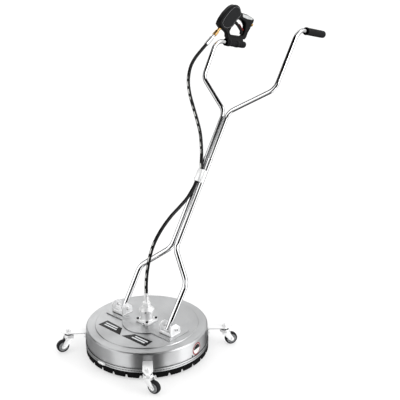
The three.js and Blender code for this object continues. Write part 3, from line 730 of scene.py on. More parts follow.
def add_world():
    world = bpy.data.worlds.new("studio")
    bpy.context.scene.world = world
    world.use_nodes = True
    tree = world.node_tree
    tree.nodes.clear()

    def node(kind, inputs=(), **settings):
        return add_node(tree, kind, inputs, **settings)

    def ramp(value, start, end, low=0.0, high=1.0):
        inputs = {0: value, 1: start, 2: end, 3: low, 4: high}
        return node("MapRange", inputs, interpolation_type="SMOOTHSTEP").outputs[0]

    def mix(share, start, end):
        return node("MapRange", {0: share, 1: 0.0, 2: 1.0, 3: start, 4: end}).outputs[0]

    def maths(operation, a, b):
        return node("Math", {0: a, 1: b}, operation=operation).outputs[0]

    direction = node("TexCoord").outputs["Generated"]
    height = node("SeparateXYZ", {0: direction}).outputs["Z"]
    up = maths("MULTIPLY", maths("ARCSINE", height, 0.0), math.degrees(1))
    flat = node("VectorMath", {0: direction, 1: (1, 1, 0)}, operation="MULTIPLY").outputs[0]
    flat = node("VectorMath", {0: flat}, operation="NORMALIZE").outputs[0]
    brightness = SURROUNDINGS
    for turn, half_width, lowest, highest, level in STUDIO_PATCHES:
        angle = CAMERA_AZIMUTH + math.radians(turn)
        heading = (math.sin(angle), -math.cos(angle), 0)
        facing = node("VectorMath", {0: flat, 1: heading}, operation="DOT_PRODUCT").outputs["Value"]
        away = maths("MULTIPLY", maths("ARCCOSINE", facing, 0.0), math.degrees(1))
        soft = PATCH_SOFTNESS / 2
        share = ramp(away, half_width - soft, half_width + soft, 1.0, 0.0)
        share = maths("MULTIPLY", share, ramp(up, lowest - soft, lowest + soft))
        share = maths("MULTIPLY", share, ramp(up, highest - soft, highest + soft, 1.0, 0.0))
        brightness = mix(share, brightness, level)
    path = node("LightPath").outputs
    brightness = mix(path["Is Diffuse Ray"], brightness, DIFFUSE_WHITE)
    brightness = mix(path["Is Camera Ray"], brightness, SEEN_WHITE)
    background = node("Background", {"Strength": brightness, "Color": (1.0, 1.0, 1.0, 1.0)})
    tree.links.new(background.outputs[0], node("OutputWorld").inputs[0])


def add_floor():
    mesh = bpy.data.meshes.new("studio_floor")
    half = 30
    corners = [(-half, -half, 0), (half, -half, 0), (half, half, 0), (-half, half, 0)]
    mesh.from_pydata(corners, [], [(0, 1, 2, 3)])
    s = Surface("studio_floor")
    paint = s.noise(s.local(), 3, 2)
    mesh.materials.append(s.finish(s.tint(paint, (0.44, 0.44, 0.44), (0.46, 0.46, 0.46)),
                                   s.between(paint, 0.55, 0.65)))
    s.shader.inputs["Emission Color"].default_value = (1.0, 1.0, 1.0, 1.0)
    s.shader.inputs["Emission Strength"].default_value = 0.52
    floor = bpy.data.objects.new("studio_floor", mesh)
    bpy.context.scene.collection.objects.link(floor)
    floor.visible_glossy = False


def add_light(name, turn, height, distance, size, power):
    """A soft square lamp round from the camera's direction by turn degrees, aimed at the machine."""
    data = bpy.data.lights.new(name, "AREA")
    data.size, data.energy = size, power
    lamp = bpy.data.objects.new(name, data)
    angle = CAMERA_AZIMUTH + math.radians(turn)
    place = Vector((math.sin(angle) * distance, -math.cos(angle) * distance, height))
    target = Vector((0, 0, 0.5))
    lamp.location = place
    lamp.rotation_mode = "QUATERNION"
    lamp.rotation_quaternion = (target - place).to_track_quat("-Z", "Y")
    bpy.context.scene.collection.objects.link(lamp)


def add_studio():
    add_world()
    add_floor()
    add_light("key_lamp", turn=62, height=2.3, distance=2.6, size=1.4, power=22)
    add_light("fill_lamp", turn=-70, height=2.4, distance=2.8, size=1.6, power=8)
    view = bpy.context.scene.view_settings
    view.view_transform = "Standard"
    view.look = "None"


# ---------------------------------------------------------------- deck
def deck_shell():
    waist, crown = DECK_RADIUS - SHOULDER, DECK_TOP - SHOULDER

    def side(radius, sheet):
        """The outer face, or the inner one a sheet's thickness inside it."""
        points = [(DECK_RADIUS - sheet, RIM_Z)]
        for k in range(13):
            angle = math.pi / 2 * k / 12
            points.append((waist + radius * math.cos(angle), crown + radius * math.sin(angle)))
        for k in range(9):
            share = k / 8
            rise = (DISC_TOP - DECK_TOP) * (3 * share ** 2 - 2 * share ** 3)
            points.append((DISC_RADIUS + 1.5 - 4 * share, DECK_TOP - sheet + rise))
        points.append((17, DISC_TOP - sheet))
        return points

    outline = side(SHOULDER, 0) + turned_over(side(SHOULDER - DECK_SHEET, DECK_SHEET))
    piece("deck_pan", lathe(outline, 224), "deck", "deck", stands_for=["deck_shell"])


def lattice(radius, thickness, levels, windows, bar_share):
    """A thin ring with a row of windows: levels are its z steps, and the middle step is windowed."""
    steps = 2 * windows
    angles = [TURN * (i // 2 + (i % 2) * bar_share) / windows for i in range(steps)]
    rows = len(levels) - 1
    solid = {(c, r) for c in range(steps) for r in range(rows) if not (r == 1 and c % 2 == 1)}
    vertices = [(depth * math.cos(a), depth * math.sin(a), z)
                for depth in (radius - thickness, radius) for z in levels for a in angles]
    layer = steps * len(levels)

    def at(column, row, outer):
        return (layer if outer else 0) + row * steps + column % steps

    faces = []
    for c, r in solid:
        corners = [(c, r), (c + 1, r), (c + 1, r + 1), (c, r + 1)]
        faces.append(tuple(at(*corner, True) for corner in corners))
        faces.append(tuple(at(*corner, False) for corner in reversed(corners)))
        beside = [(c, r - 1), ((c + 1) % steps, r), (c, r + 1), ((c - 1) % steps, r)]
        for k, neighbour in enumerate(beside):
            if neighbour not in solid:
                a, b = corners[k], corners[(k + 1) % 4]
                faces.append((at(*a, False), at(*b, False), at(*b, True), at(*a, True)))
    return vertices, faces


def rim_band():
    low, high = low_z("rim_band"), high_z("rim_band")
    radius, sheet, windows, bar_share = 259.4, 1.8, 256, 0.42
    strap = lattice(radius, sheet, [low, low + 4, high - 5, high], windows, bar_share)
    piece("rim_band_strap", strap, "sheet", "deck", stands_for=["rim_band"])
    middle = (low + high) / 2
    front = Matrix.Translation((0, -262.4, middle))
    housing = joined(
        box(-13, 13, -3.2, 2.4, -5.5, 5.5, 1.2),
        turned(rod(4.6, -17, 14, 1.0, 28), 90, "Y"),
        turned(hexagon(8.5, 14, 20, 0.8), 90, "Y"),
    )
    piece("rim_band_screw", housing, "zinc", "deck", place=front)


def brush_skirt():
    """A dense ring of bristles, cut by a row of slits that narrow upwards."""
    dice = random.Random(11)
    slits, per_slit = 28, 56
    columns = slits * per_slit
    foot, ceiling, slit_top = 9, low_z("rim_band") - 0.4, 21
    outer, inner = 258.3, 254.3
    levels = 5
    outside, inside = [[] for _ in range(levels)], [[] for _ in range(levels)]
    for column in range(columns):
        angle = TURN * column / columns
        away = abs((column + per_slit / 2) % per_slit - per_slit / 2) * TURN * outer / columns
        share = min(1.0, max(0.0, (6.2 - away) / 3.4))
        strand = dice.uniform(-0.35, 0.35)
        low = foot + (slit_top - foot) * share + dice.uniform(0.0, 1.3)
        for k in range(levels):
            z = low + (ceiling - low) * k / (levels - 1)
            spread = strand * (1 - 0.6 * k / (levels - 1))
            for rings, radius, way in ((outside, outer, 1), (inside, inner, -1)):
                size = radius + way * spread
                rings[k].append((size * math.cos(angle), size * math.sin(angle), z))
    skirt = stacked([*outside, *reversed(inside)], closed=True)
    holder = lathe(fillet([(253.5, ceiling - 1.5), (256.9, ceiling - 1.5), (256.9, 49.6),
                           (255.3, 49.6), (255.3, 47.6), (253.5, 47.6)], 0.3, 2), 224)
    piece("brush_bristles", skirt, "bristle", "deck", stands_for=["brush_skirt"], crease=25)
    piece("brush_holder", holder, "grip", "deck")


def top_plate():
    low, radius, half_length, half_width = low_z("top_plate"), 105, 187, 61
    meet = math.asin(half_width / radius)
    outline = []
    for side in (0, math.pi):
        end = [(half_length, -half_width, 5), (half_length, half_width, 5)]
        for x, y in fillet([(0, -half_width, 0), *end, (0, half_width, 0)], 5, 5)[1:-1]:
            outline.append((x * math.cos(side), y * math.cos(side)))
        for k in range(29):
            angle = side + meet + (math.pi - 2 * meet) * k / 28
            outline.append((radius * math.cos(angle), radius * math.sin(angle)))
    sheet = plate(outline, low, PLATE_TOP, 1.1, [circle(18.3, 48, clockwise=True)])
    piece("deck_plate", sheet, "deck", "deck", stands_for=["top_plate"])


# ---------------------------------------------------------------- rotary swivel
def swivel():
    half = (FLANGE_LOW + FLANGE_TOP) / 2
    corners = [(-35, -35, 8), (35, -35, 8), (35, 35, 8), (-35, 35, 8)]
    square = plate(fillet(corners, 8, 6), FLANGE_LOW, FLANGE_TOP, 1.2, [circle(18, 40, clockwise=True)])
    piece("swivel_base", square, "cast", "deck", stands_for=["swivel_flange"])
    foot = FLANGE_TOP + 0.3
    body = fillet([(18.3, foot, 0), (30, foot, 0.6), (26.6, foot + 5, 5), (26, foot + 12, 4),
                   (26, BODY_TOP, 0.8), (18.3, BODY_TOP, 0)], 1, 8)
    piece("swivel_barrel", lathe(body, 96), "cast", "deck", stands_for=["swivel_body"])
    low = BODY_TOP + 0.3
    collar = fillet([(9.2, low, 0), (29, low, 0.6), (32, low + 3, 1.5), (32, COLLAR_TOP - 11, 1.5),
                     (19, COLLAR_TOP, 1.2), (9.2, COLLAR_TOP, 0)], 1, 5)
    piece("swivel_cap", lathe(collar, 96), "cast", "deck", stands_for=["swivel_collar"])
    nut = hexagon(31, COLLAR_TOP + 0.3, NUT_TOP, 1.6, 8.8)
    piece("swivel_top_nut", nut, "cast", "deck", stands_for=["swivel_nut"])
    set_screw(low + 9)
    grease_point(half)


def set_screw(height):
    turn, seat = math.radians(-54), 31.2
    heading = Vector((math.cos(turn), math.sin(turn), 0))
    place = aimed(heading * seat + Vector((0, 0, height)), heading)
    screw = lathe(fillet([(0, 0, 0), (3.6, 0), (3.6, 1.6), (2.0, 1.6), (2.0, 0.6), (0, 0.6, 0)], 0.3, 2), 28)
    piece("collar_set_screw", screw, "oxide", "deck", place=place)


def grease_point(height):
    """The grease point in the front edge of the flange: a black disc that is painted shade for its recess,
    and its short pin.
    """
    place = aimed(Vector((15, -34.6, height - 2)), -AXIS_Y)
    # A black disc as painted shade, where the pin's recess would be dark.
    piece("flange_recess_shade", rod(4.6, 0, 1.2, 0.4, 28), "oxide", "deck", place=place)
    pin = joined(rod(2.4, 1.0, 3.0, 0.4, 24), rod(1.5, 2.8, 6.0, 0.6, 20))
    piece("flange_grease_pin", pin, "zinc", "deck", place=place)


def socket_screw(radius, height):
    """A cap screw head with a hexagonal socket, its seat at z = 0."""
    reach = radius * 0.56
    socket = [(reach * math.cos(-TURN * i / 6), reach * math.sin(-TURN * i / 6)) for i in range(6)]
    rim = plate(circle(radius, 36), 0, height, 0.5, [socket])
    return joined(rim, rod(reach * 1.02, 0.1, height * 0.4, 0.2, 24))


def flange_bolts():
    under = DISC_TOP - DECK_SHEET - 0.3
    for i, (x, y) in enumerate([(-27, -27), (27, -27), (27, 27), (-27, 27)], 1):
        place = Matrix.Translation((x, y, 0))
        low = joined(shifted(hexagon(13, -6, 0, 0.9), z=under), rod(4, 112, under + 1, 0.5, 24))
        washer = sleeve(4.4, 7.6, FLANGE_TOP + 0.2, FLANGE_TOP + 1.5, sides=40)
        piece(f"flange_washer_{i}", joined(low, washer), "zinc", "deck", place=place,
              stands_for=[f"flange_bolt_{i}"])
        head = shifted(socket_screw(5.6, 4.4), z=FLANGE_TOP + 1.5)
        piece(f"flange_screw_{i}", head, "oxide", "deck", place=place)


def lower_hose_end():
    low = NUT_TOP
    neck = lathe(fillet([(0, COLLAR_TOP + 6, 0), (8.2, COLLAR_TOP + 6), (8.2, low + 12.5),
                        (0, low + 12.5, 0)], 0.4, 2), 48)
    swage = fillet([(0, low + 25, 0), (7.5, low + 25), (10, low + 28, 0.8), (10, HOSE_EXIT_Z - 11, 1.0),
                    (9.2, HOSE_EXIT_Z - 9.5, 0.8), (10, HOSE_EXIT_Z - 8, 0.8), (10, HOSE_EXIT_Z, 1.2),
                    (0, HOSE_EXIT_Z, 0)], 0.5, 4)
    shape = joined(neck, hexagon(19, low + 12, low + 26, 1.2), lathe(swage, 64))
    piece("hose_fitting_lower", shape, "zinc", "deck", stands_for=["hose_end_lower"])
    # A black ring as painted shade in the gap between the hex and the hose fitting above it.
    piece("hose_fitting_gap_shade", sleeve(7.0, 9.0, low + 26.2, low + 28.6, 0.4, 3), "oxide", "deck")


# ---------------------------------------------------------------- rotor under the deck
def rotor():
    spin = joint_point("rotor_spin").z
    half = 13
    shaft = fillet([(3, spin - half, 0), (10, spin - half), (10, COLLAR_TOP - 9, 0.8),
                    (7, COLLAR_TOP - 9, 0.3), (7, COLLAR_TOP, 0.3), (3, COLLAR_TOP, 0)], 0.8, 3)
    piece("rotor_spindle", lathe(shaft, 64), "bearing", "rotor", stands_for=["rotor_shaft"])
    block = plate(fillet([(-28, -17), (28, -17), (28, 17), (-28, 17)], 4, 4), spin - half, spin + half, 1.4,
                  [circle(10.3, 40, clockwise=True)])
    piece("rotor_block", block, "brass", "rotor", stands_for=["rotor_hub"])
    reach, drop = 212, 22
    for name, turn in (("a", 0), ("b", 180)):
        corners = [(28.3, 0, spin), (reach, 0, spin), (reach + 4, 0, spin - drop)]
        arm = joined(tube(bend(corners, 14, 12), 8, 36, 0.5),
                     tube([(28.4, 0, spin), (40, 0, spin)], 9.4, 36, 0.8))
        piece(f"spray_bar_{name}", turned(arm, turn), "chrome", "rotor", stands_for=[f"spray_arm_{name}"])
        place = Matrix.Rotation(math.radians(turn), 4, "Z") @ aimed(
            Vector((reach + 4, 0, spin - drop)), Vector((-4, 0, drop)))
        tip = joined(hexagon(14, -10.3, -5.5, 0.8), rod(5.2, -12.3, -9.8, 0.6, 32),
                     rod(6.6, -5.7, -0.3, 0.5, 32), rod(1.3, -13.0, -11.5, 0.2, 16))
        piece(f"spray_tip_{name}", tip, "cast", "rotor", place=place, stands_for=[f"spray_nozzle_{name}"])


# ---------------------------------------------------------------- casters
CORNERS = ("front_left", "front_right", "rear_right", "rear_left")


def caster_arm(name, place):
    """The flat arm, its turned-down tab on the deck wall and the two screws that hold it."""
    root, tip = DECK_RADIUS + 0.6, 362
    outline = fillet([(root, -19, 1), (STEM_RADIUS, -21, 14), (tip, -6, 7), (tip, 6, 7),
                      (STEM_RADIUS, 21, 14), (root, 19, 1)], 5, 8)
    flat = plate(outline, ARM_TOP - 4, ARM_TOP, 0.9, [circle(5.6, 32, STEM_RADIUS, clockwise=True)])
    tab_outline = fillet([(-19, 53, 5), (19, 53, 5), (19, ARM_TOP - 1.2, 1), (-19, ARM_TOP - 1.2, 1)], 4, 5)
    tab = moved(plate(tab_outline, 0, 4, 0.9), aimed((root, 0, 0), AXIS_X, AXIS_Y))
    inner_bend = moved(plate(fillet([(0, 0, 0), (4, 0, 1.6), (0, 4, 1.6)], 1, 4), -18.6, 18.6, 0.2),
                       aimed((root + 4, 0, ARM_TOP - 4), AXIS_Y, AXIS_X))
    piece(f"caster_bracket_{name}", joined(flat, tab, inner_bend), "zinc", "deck", place=place,
          stands_for=[f"caster_arm_{name}"])
    for k, height in enumerate((60, 77)):
        spot = place @ aimed((root + 4, 0, height), AXIS_X)
        head = joined(rod(5.4, 0, 1.2, 0.4, 32), hexagon(7.6, 1.0, 4.8, 0.8))
        piece(f"caster_screw_{name}_{k + 1}", head, "zinc", "deck", place=spot)
        spot = place @ aimed((DECK_RADIUS - DECK_SHEET, 0, height), -AXIS_X)
        piece(f"caster_nut_{name}_{k + 1}", hexagon(8.5, 0, 4, 0.8), "zinc", "deck", place=spot)


def caster_stem(name, place):
    stem = joined(
        sleeve(5, 11.5, ARM_TOP + 0.3, ARM_TOP + 2.3, 0.5, 3),
        hexagon(17, ARM_TOP + 2.3, ARM_TOP + 9.5, 1.3, 4.9),
        rod(5, 69.6, ARM_TOP + 13, 1.0, 40),
    )
    piece(f"caster_bolt_{name}", stem, "zinc", "deck", place=place, stands_for=[f"caster_stem_{name}"])


def caster_fork(name, place, axle):
    """Pressed fork: a domed raceway over two cheeks that reach back to the axle. X is the trail."""
    trail, height = axle.x, axle.z
    crown = fillet([(5.6, 63.5, 0), (18, 63.5, 0.6), (20, 67.5, 1.5), (19, 74, 2), (13, 78, 1.5),
                    (13, 83.7, 1), (5.6, 83.7, 0)], 1, 5)
    cheek = [(-15, 66.5, 1.0), (-15, 57.5, 5), (-6, 51, 14), (18, 22, 20)]
    for k in range(9):
        angle = math.radians(-140 + 165 * k / 8)
        cheek.append((trail + 9 * math.cos(angle), height + 9 * math.sin(angle), 0))
    cheek += [(21, 56, 12), (20, 66.5, 1.0)]
    outline = turned_over(fillet(turned_over(cheek), 2, 5))
    hole = circle(3.4, 24, trail, height, clockwise=True)
    sides = []
    for way in (-1, 1):
        half_sheet, half_gap = 1.35, 13.65
        sheet = plate(outline, -half_sheet, half_sheet, 0.7, [hole])
        sides.append(moved(sheet, aimed((0, half_gap * way, 0), -AXIS_Y, AXIS_X)))
    bridge = plate(fillet([(-15, -15), (20, -15), (20, 15), (-15, 15)], 3, 4), 63.5, 66.5, 0.8,
                   [circle(5.6, 32, clockwise=True)])
    shape = joined(lathe(crown, 64), *sides, bridge)
    piece(f"caster_yoke_{name}", shape, "zinc", f"caster_{name}", place=place,
          stands_for=[f"caster_fork_{name}"])
    # A black ring on the crown just under the arm: a ball race, its black partly painted shade under the arm.
    race = lathe(fillet([(12.6, 75.2), (17.2, 75.2), (16.4, 77.4), (12.6, 78.6)], 0.5, 3), 64)
    piece(f"caster_shaded_race_{name}", race, "oxide", f"caster_{name}", place=place)


def caster_wheel(name, place):
    """A moulded wheel, its Z along the axle: a rounded tread on a lighter spoked core."""
    half = WHEEL_WIDTH / 2
    r = WHEEL_RADIUS
    tread = fillet([(19, -half + 1.4, 1), (r - 5, -half, 1.5), (r - 1.2, -half + 2.2, 4), (r, 0, 24),
                    (r - 1.2, half - 2.2, 4), (r - 5, half, 1.5), (19, half - 1.4, 1)], 1, 6)
    near = [(3.5, -half - 0.6, 0.3), (8.6, -half - 0.6, 0.8), (9.4, -half + 2.6, 1.2),
            (16.6, -half + 3.4, 1.2), (17.4, -half + 1.4, 0.8), (19.3, -half + 1.4, 0)]
    core = fillet([*near, *((x, -z, size) for x, z, size in reversed(near))], 0.6, 4)
    spokes = []
    for k in range(6):
        rib = joined(box(8.8, 17.2, -0.9, 0.9, half - 3.6, half - 1.2, 0.3),
                     box(8.8, 17.2, -0.9, 0.9, -half + 1.2, -half + 3.6, 0.3))
        spokes.append(turned(rib, 60 * k))
    piece(f"caster_tread_{name}", lathe(tread, 96), "tread", f"wheel_{name}", place=place,
          stands_for=[f"caster_wheel_{name}"])
    piece(f"caster_hub_{name}", joined(lathe(core, 72), *spokes), "wheel", f"wheel_{name}", place=place)


def caster_axle(name, place):
    bolt = joined(rod(3, -17, 17, 0.5, 28), hexagon(10, 15.3, 18.3, 0.9), hexagon(10, -18.3, -15.3, 0.9))
    piece(f"caster_pin_{name}", bolt, "zinc", f"caster_{name}", place=place,
          stands_for=[f"caster_axle_{name}"])


def casters():
    for name in CORNERS:
        stem = joint_point(f"caster_swivel_{name}")
        hub = joint_point(f"wheel_spin_{name}")
        spoke = math.degrees(math.atan2(stem.y, stem.x))
        caster_arm(name, Matrix.Rotation(math.radians(spoke), 4, "Z"))
        trail = Vector((hub.x - stem.x, hub.y - stem.y, 0))
        at_stem = aimed((stem.x, stem.y, 0), AXIS_Z, trail)
        caster_stem(name, at_stem)
        caster_fork(name, at_stem, Vector((trail.length, 0, hub.z)))
        axis = AXIS_Z.cross(trail).normalized()
        at_wheel = aimed(hub, axis, trail)
        caster_wheel(name, at_wheel)
        caster_axle(name, at_wheel)


# ---------------------------------------------------------------- handle
# How far out from the machine's middle the two ears of a bracket stand.
EARS = (109.5, 170.5)


def handle_bracket(name, side):
    """A folded steel bracket: two ears, the web that joins them and a low lip along its front."""
    low = PLATE_TOP + 0.3
    ear_outline = fillet([(-38, low, 1), (22, low, 1), (19, 153, 5), (-4, 173, 6), (-27, 173, 6),
                          (-38, 162, 6)], 3, 6)
    hole = circle(4.6, 28, PIVOT.y, PIVOT.z, clockwise=True)
    shapes = []
    for x in EARS:
        ear = plate(ear_outline, -1.5, 1.5, 0.6, [hole])
        shapes.append(moved(ear, aimed((side * x, 0, 0), AXIS_X, AXIS_Y)))
    inner, outer = 109, 171
    web = plate(fillet([(inner, -38), (outer, -38), (outer, 22), (inner, 22)], 1.5, 4), low, low + 3, 0.8)
    lip_outline = fillet([(inner, low, 0.5), (outer, low, 0.5), (outer, low + 11, 2),
                          (outer - 8, low + 13, 6), (inner + 8, low + 13, 6), (inner, low + 11, 2)], 2, 6)
    lip = moved(plate(lip_outline, 0, 3, 0.8), aimed((0, -35, 0), -AXIS_Y, AXIS_X))
    across = 0 if side > 0 else -(inner + outer)
    shapes += [shifted(web, x=across), shifted(lip, x=across)]
    piece(f"bracket_{name}", joined(*shapes), "zinc", "deck", stands_for=[f"handle_bracket_{name}"])
    for k, x in enumerate(EARS):
        route = [Vector((side * (x + (1.9 if k else -1.9)), y, low + 0.7)) for y in range(-34, 20, 3)]
        piece(f"bracket_weld_{name}_{k + 1}", weld_bead(route), "zinc", "deck")
    rivet = lathe(fillet([(0, 0, 0), (4.6, 0, 0.3), (3.6, 2.0, 1.6), (0, 2.8, 0)], 0.5, 5), 36)
    piece(f"bracket_rivet_{name}", rivet, "oxide", "deck",
          place=Matrix.Translation((side * 140, -27, low + 2.9)))


def weld_bead(route):
    """A row of overlapping flat ripples along a joint."""
    rings = []
    sides = 16
    for k in range(len(route) * 4 - 3):
        place, share = divmod(k, 4)
        centre = route[place].lerp(route[min(place + 1, len(route) - 1)], share / 4)
        size = 1.3 + 0.35 * abs(math.sin(math.pi * k / 4))
        rings.append([(centre.x + x, centre.y, centre.z + 0.8 * z) for x, z in circle(size, sides)])
    return capped(rings)


def pivot_bolt(name, side):
    """The tilt bolt, its head outside the outer ear and its nut inside the inner one."""
    bolt = joined(rod(4.2, 102, 175, 0.6, 32), hexagon(13, 101.8, 107.4, 1.1),
                  rod(8.4, 107.0, 107.9, 0.3, 36), rod(8.4, 172.1, 173.2, 0.3, 36),
                  hexagon(13, 173.2, 178, 1.1))
    head = rod(3.4, 178.0, 178.5, 0.2, 24)
    place = aimed((0, PIVOT.y, PIVOT.z), AXIS_X * side, AXIS_Y)
    piece(f"tilt_bolt_{name}", bolt, "zinc", "deck", place=place, stands_for=[f"pivot_bolt_{name}"])
    piece(f"tilt_bolt_dot_{name}", head, "oxide", "deck", place=place)


def mirrored(points, side):
    return [Vector((side * p.x, p.y, p.z)) for p in points]


def handle_tubes(name, side):
    foot = PIVOT - (KNEE - PIVOT).normalized() * 15
    joint_end = WAIST.lerp(CROTCH, SOCKET_SHARE)
    lower = mirrored(bend([foot, KNEE, WAIST, joint_end], BEND_RADIUS, 20), side)
    piece(f"handle_leg_{name}", tube(lower, LOWER_TUBE, 48, 1.2), "chrome", "handle",
          stands_for=[f"lower_tube_{name}"])
    run = CROTCH - WAIST
    top = ELBOW + RISER_DIRECTION * RISER_LENGTH[name]
    end = top + GRIP_DIRECTION * (GRIP_START[name] + GRIP_LENGTH - 24)
    start = joint_end - run.normalized() * 40
    upper = mirrored(bend([start, CROTCH, ELBOW, top, end], BEND_RADIUS, 20), side)
    piece(f"handle_arm_{name}", tube(upper, UPPER_TUBE, 48, 0.8), "chrome", "handle",
          stands_for=[f"upper_tube_{name}"])
    mouth = mirrored([joint_end], side)[0]
    lip = fillet([(9.5, -7), (11.3, -7, 0.4), (11.3, 0.4, 1.0), (10.4, 1.6, 0.6), (9.5, 1.6)], 0.2, 3)
    piece(f"socket_lip_{name}", lathe(lip, 56), "chrome", "handle", place=aimed(mouth, run))
    button = lathe(fillet([(0, 0, 0), (3.8, 0, 0.2), (3.2, 1.7, 1.2), (0, 2.2, 0)], 0.5, 5), 32)
    outward = AXIS_X * side
    spot = mouth - run.normalized() * 22 + outward * (LOWER_TUBE - 0.4)
    piece(f"socket_button_{name}", button, "zinc", "handle", place=aimed(spot, outward))


def grip_sleeve(name):
    """A soft sleeve on its own +Z axis: a collar, a patterned length and a round closed end."""
    columns, rows = 96, 150
    r, length = GRIP_RADIUS, GRIP_LENGTH
    rings = []
    for k in range(rows + 1):
        z = length * k / rows
        row = []
        for i in range(columns):
            angle = TURN * i / columns
            radius = r + pattern_height(name, z, angle)
            if z < 7:
                radius = r + 1.5 * min(1.0, (7 - z) / 2.5)
            if z < 1:
                radius -= (1 - z) ** 2
            if z > length - 8:
                radius *= math.sqrt(max(0.0, 1 - ((z - length + 8) / 8) ** 2.4))
            row.append((radius * math.cos(angle), radius * math.sin(angle), z))
        rings.append(row)
    bore = 9.8
    rings += [[(0, 0, length)] * columns, [(0, 0, length - 12)] * columns,
              ring(bore, length - 12, columns), ring(bore, 0, columns)]
    start = riser_top(name) + GRIP_DIRECTION * GRIP_START[name]
    piece(f"handgrip_{name}", stacked(rings, closed=False), "grip", "handle",
          place=aimed(start, GRIP_DIRECTION, AXIS_X), stands_for=[f"grip_{name}"], crease=60)


def pattern_height(name, z, angle):
    """Raised pattern of a grip: fine rings on the right one, chevrons on the left one."""
    start, end = 14, GRIP_LENGTH - 16
    if not start < z < end:
        return 0.0
    fade = min(1.0, (z - start) / 3, (end - z) / 3)
    if name == "right":
        return fade * 0.35 * math.sin(TURN * z / 5.5)
    fold = abs((angle * 4 / TURN) % 1 - 0.5) * 2
    return fade * 0.8 * max(-0.3, math.sin(TURN * (z / 13 + 0.75 * fold)))


def clamp():
    """The two-screw clamp that holds the hose in front of the two tubes."""
    half, wide, front = CLAMP_LENGTH / 2, 22, 26.6
    tubes = 11.5
    outline = fillet([(-wide, -2, 3), (-wide, 13.5, 3), (-17, 14.2, 3), (-13.5, front - 4, 6),
                      (-7, front, 5), (7, front, 5), (13.5, front - 4, 6), (17, 14.2, 3), (wide, 13.5, 3),
                      (wide, -2, 3), (18, 0.6, 1), (tubes, 11.4, 0), (5, 5, 1), (-5, 5, 1),
                      (-tubes, 11.4, 0), (-18, 0.6, 1)], 1.5, 5)
    outline = turned_over(outline)
    hole = circle(HOSE_RADIUS + 0.5, 36, 0, HOSE_LIFT, clockwise=True)
    body = plate(outline, -half, half, 1.0, [hole])
    run = (CROTCH - WAIST).normalized()
    place = aimed(along_middle(CLAMP_SHARE), run, AXIS_X)
    flipped = Matrix.Scale(-1, 4, AXIS_Y)
    body = moved(body, flipped)
    piece("hose_saddle", body, "zinc", "handle", place=place, stands_for=["hose_clamp"])
    ahead = AXIS_X.cross(run).normalized()
    for k, (x, up) in enumerate([(-18.6, 15), (18.6, 15), (-18.6, -15), (18.6, -15)], 1):
        spot = along_middle(CLAMP_SHARE, 14.2, up) + AXIS_X * x
        piece(f"saddle_screw_{k}", socket_screw(3.4, 2.6), "zinc", "handle", place=aimed(spot, ahead))


def handle():
    for name, side in SIDES.items():
        handle_bracket(name, side)
        pivot_bolt(name, side)
        handle_tubes(name, side)
        grip_sleeve(name)
    clamp()


# ---------------------------------------------------------------- trigger gun
# Outlines are [y, z] from the gun's own datum; the gun's frame has its X along the machine's Y, its
# Y upwards and its Z along the machine's X.
GUN_FRAME = aimed(GUN, AXIS_X, AXIS_Y)
# The half widths are those of the shell, of the slot between its cheeks and of the core in that slot.
GUN_HALF, SLOT_HALF, CORE_HALF = 16, 8.5, 8.7
SKIN = [(-122, 8, 14), (-106, 31, 90), (-78, 55, 130), (-48, 73, 130), (-24, 83, 90), (-5, 85, 60),
        (12, 81, 26), (26, 72, 24), (33, 58, 20), (38, 45, 8), (84, 32, 30), (126, 12, 6), (133, 3, 6),
        (129, -9, 10), (117, -24, 12), (109, -37, 14), (92, -53, 14), (80, -74, 14), (68, -82, 7),
        (57, -78, 8), (-60, -57, 4), (-58, -40, 12), (-77, -24, 12), (-94, -18, 14), (-112, -3, 10)]
GUARD = [(24, 21, 14), (-3, 8, 40), (-22, -11, 24), (-35, -16, 12), (-44, -34, 12), (-39, -46, 9),
         (-16, -52, 60), (19, -59, 90), (54, -64, 12), (69, -49, 24), (73, -35, 60), (76, -19, 30),
         (72, -7, 24), (62, 3, 30), (42, 13, 40)]
RECESS = [(-43, -22), (-34, 12), (-20, 24), (-4, 24), (26, 33), (50, 25), (74, 13), (88, -4), (89, -22),
          (85, -40), (79, -56), (54, -65), (-42, -46)]
PANEL = [(-106, 11, 6), (-92, 29, 70), (-66, 49, 120), (-40, 65, 120), (-20, 74, 70), (-5, 76, 50),
         (8, 72, 20), (19, 65, 16), (25, 54, 16), (29, 38, 6), (22, 29, 8), (-8, 15, 14), (-28, -6, 12),
         (-44, -12, 8), (-70, -14, 8), (-90, -8, 8)]
INSERT = [(43, 39, 3), (84, 28, 20), (124, 9, 3), (113, 5, 10), (78, 13, 18), (46, 25, 3)]


def gun_wall(way):
    """One half of the shell: the cheek outside the slot. way is -1 or 1 along the machine's X."""
    skin = turned_over(fillet(SKIN, 4, 6))
    hole = turned_over(fillet(GUARD, 4, 6))
    low, high = (SLOT_HALF, GUN_HALF) if way > 0 else (-GUN_HALF, -SLOT_HALF)
    return rounded_side(skin, hole, low, high, way)


def eased(value):
    """0 below 0, 1 above 1, and a smooth step between."""
    share = min(1.0, max(0.0, value))
    return share * share * (3 - 2 * share)


def plump(point):
    """1 over the hand grip, where the cheeks are well rounded, falling to 0 at the straps of the guard."""
    return eased((point[1] + 22) / 26) * eased((60 - point[0]) / 30)


def cheek_depth(point, depth):
    """How far a cheek stands out past the slot: less along the guard's front strap and at its heel."""
    strap = eased((-2 - point[1]) / 22) * eased((point[0] - 20) / 25)
    heel = eased((-14 - point[1]) / 20) * eased((-25 - point[0]) / 20)
    return depth * (1 - 0.62 * max(strap, heel))


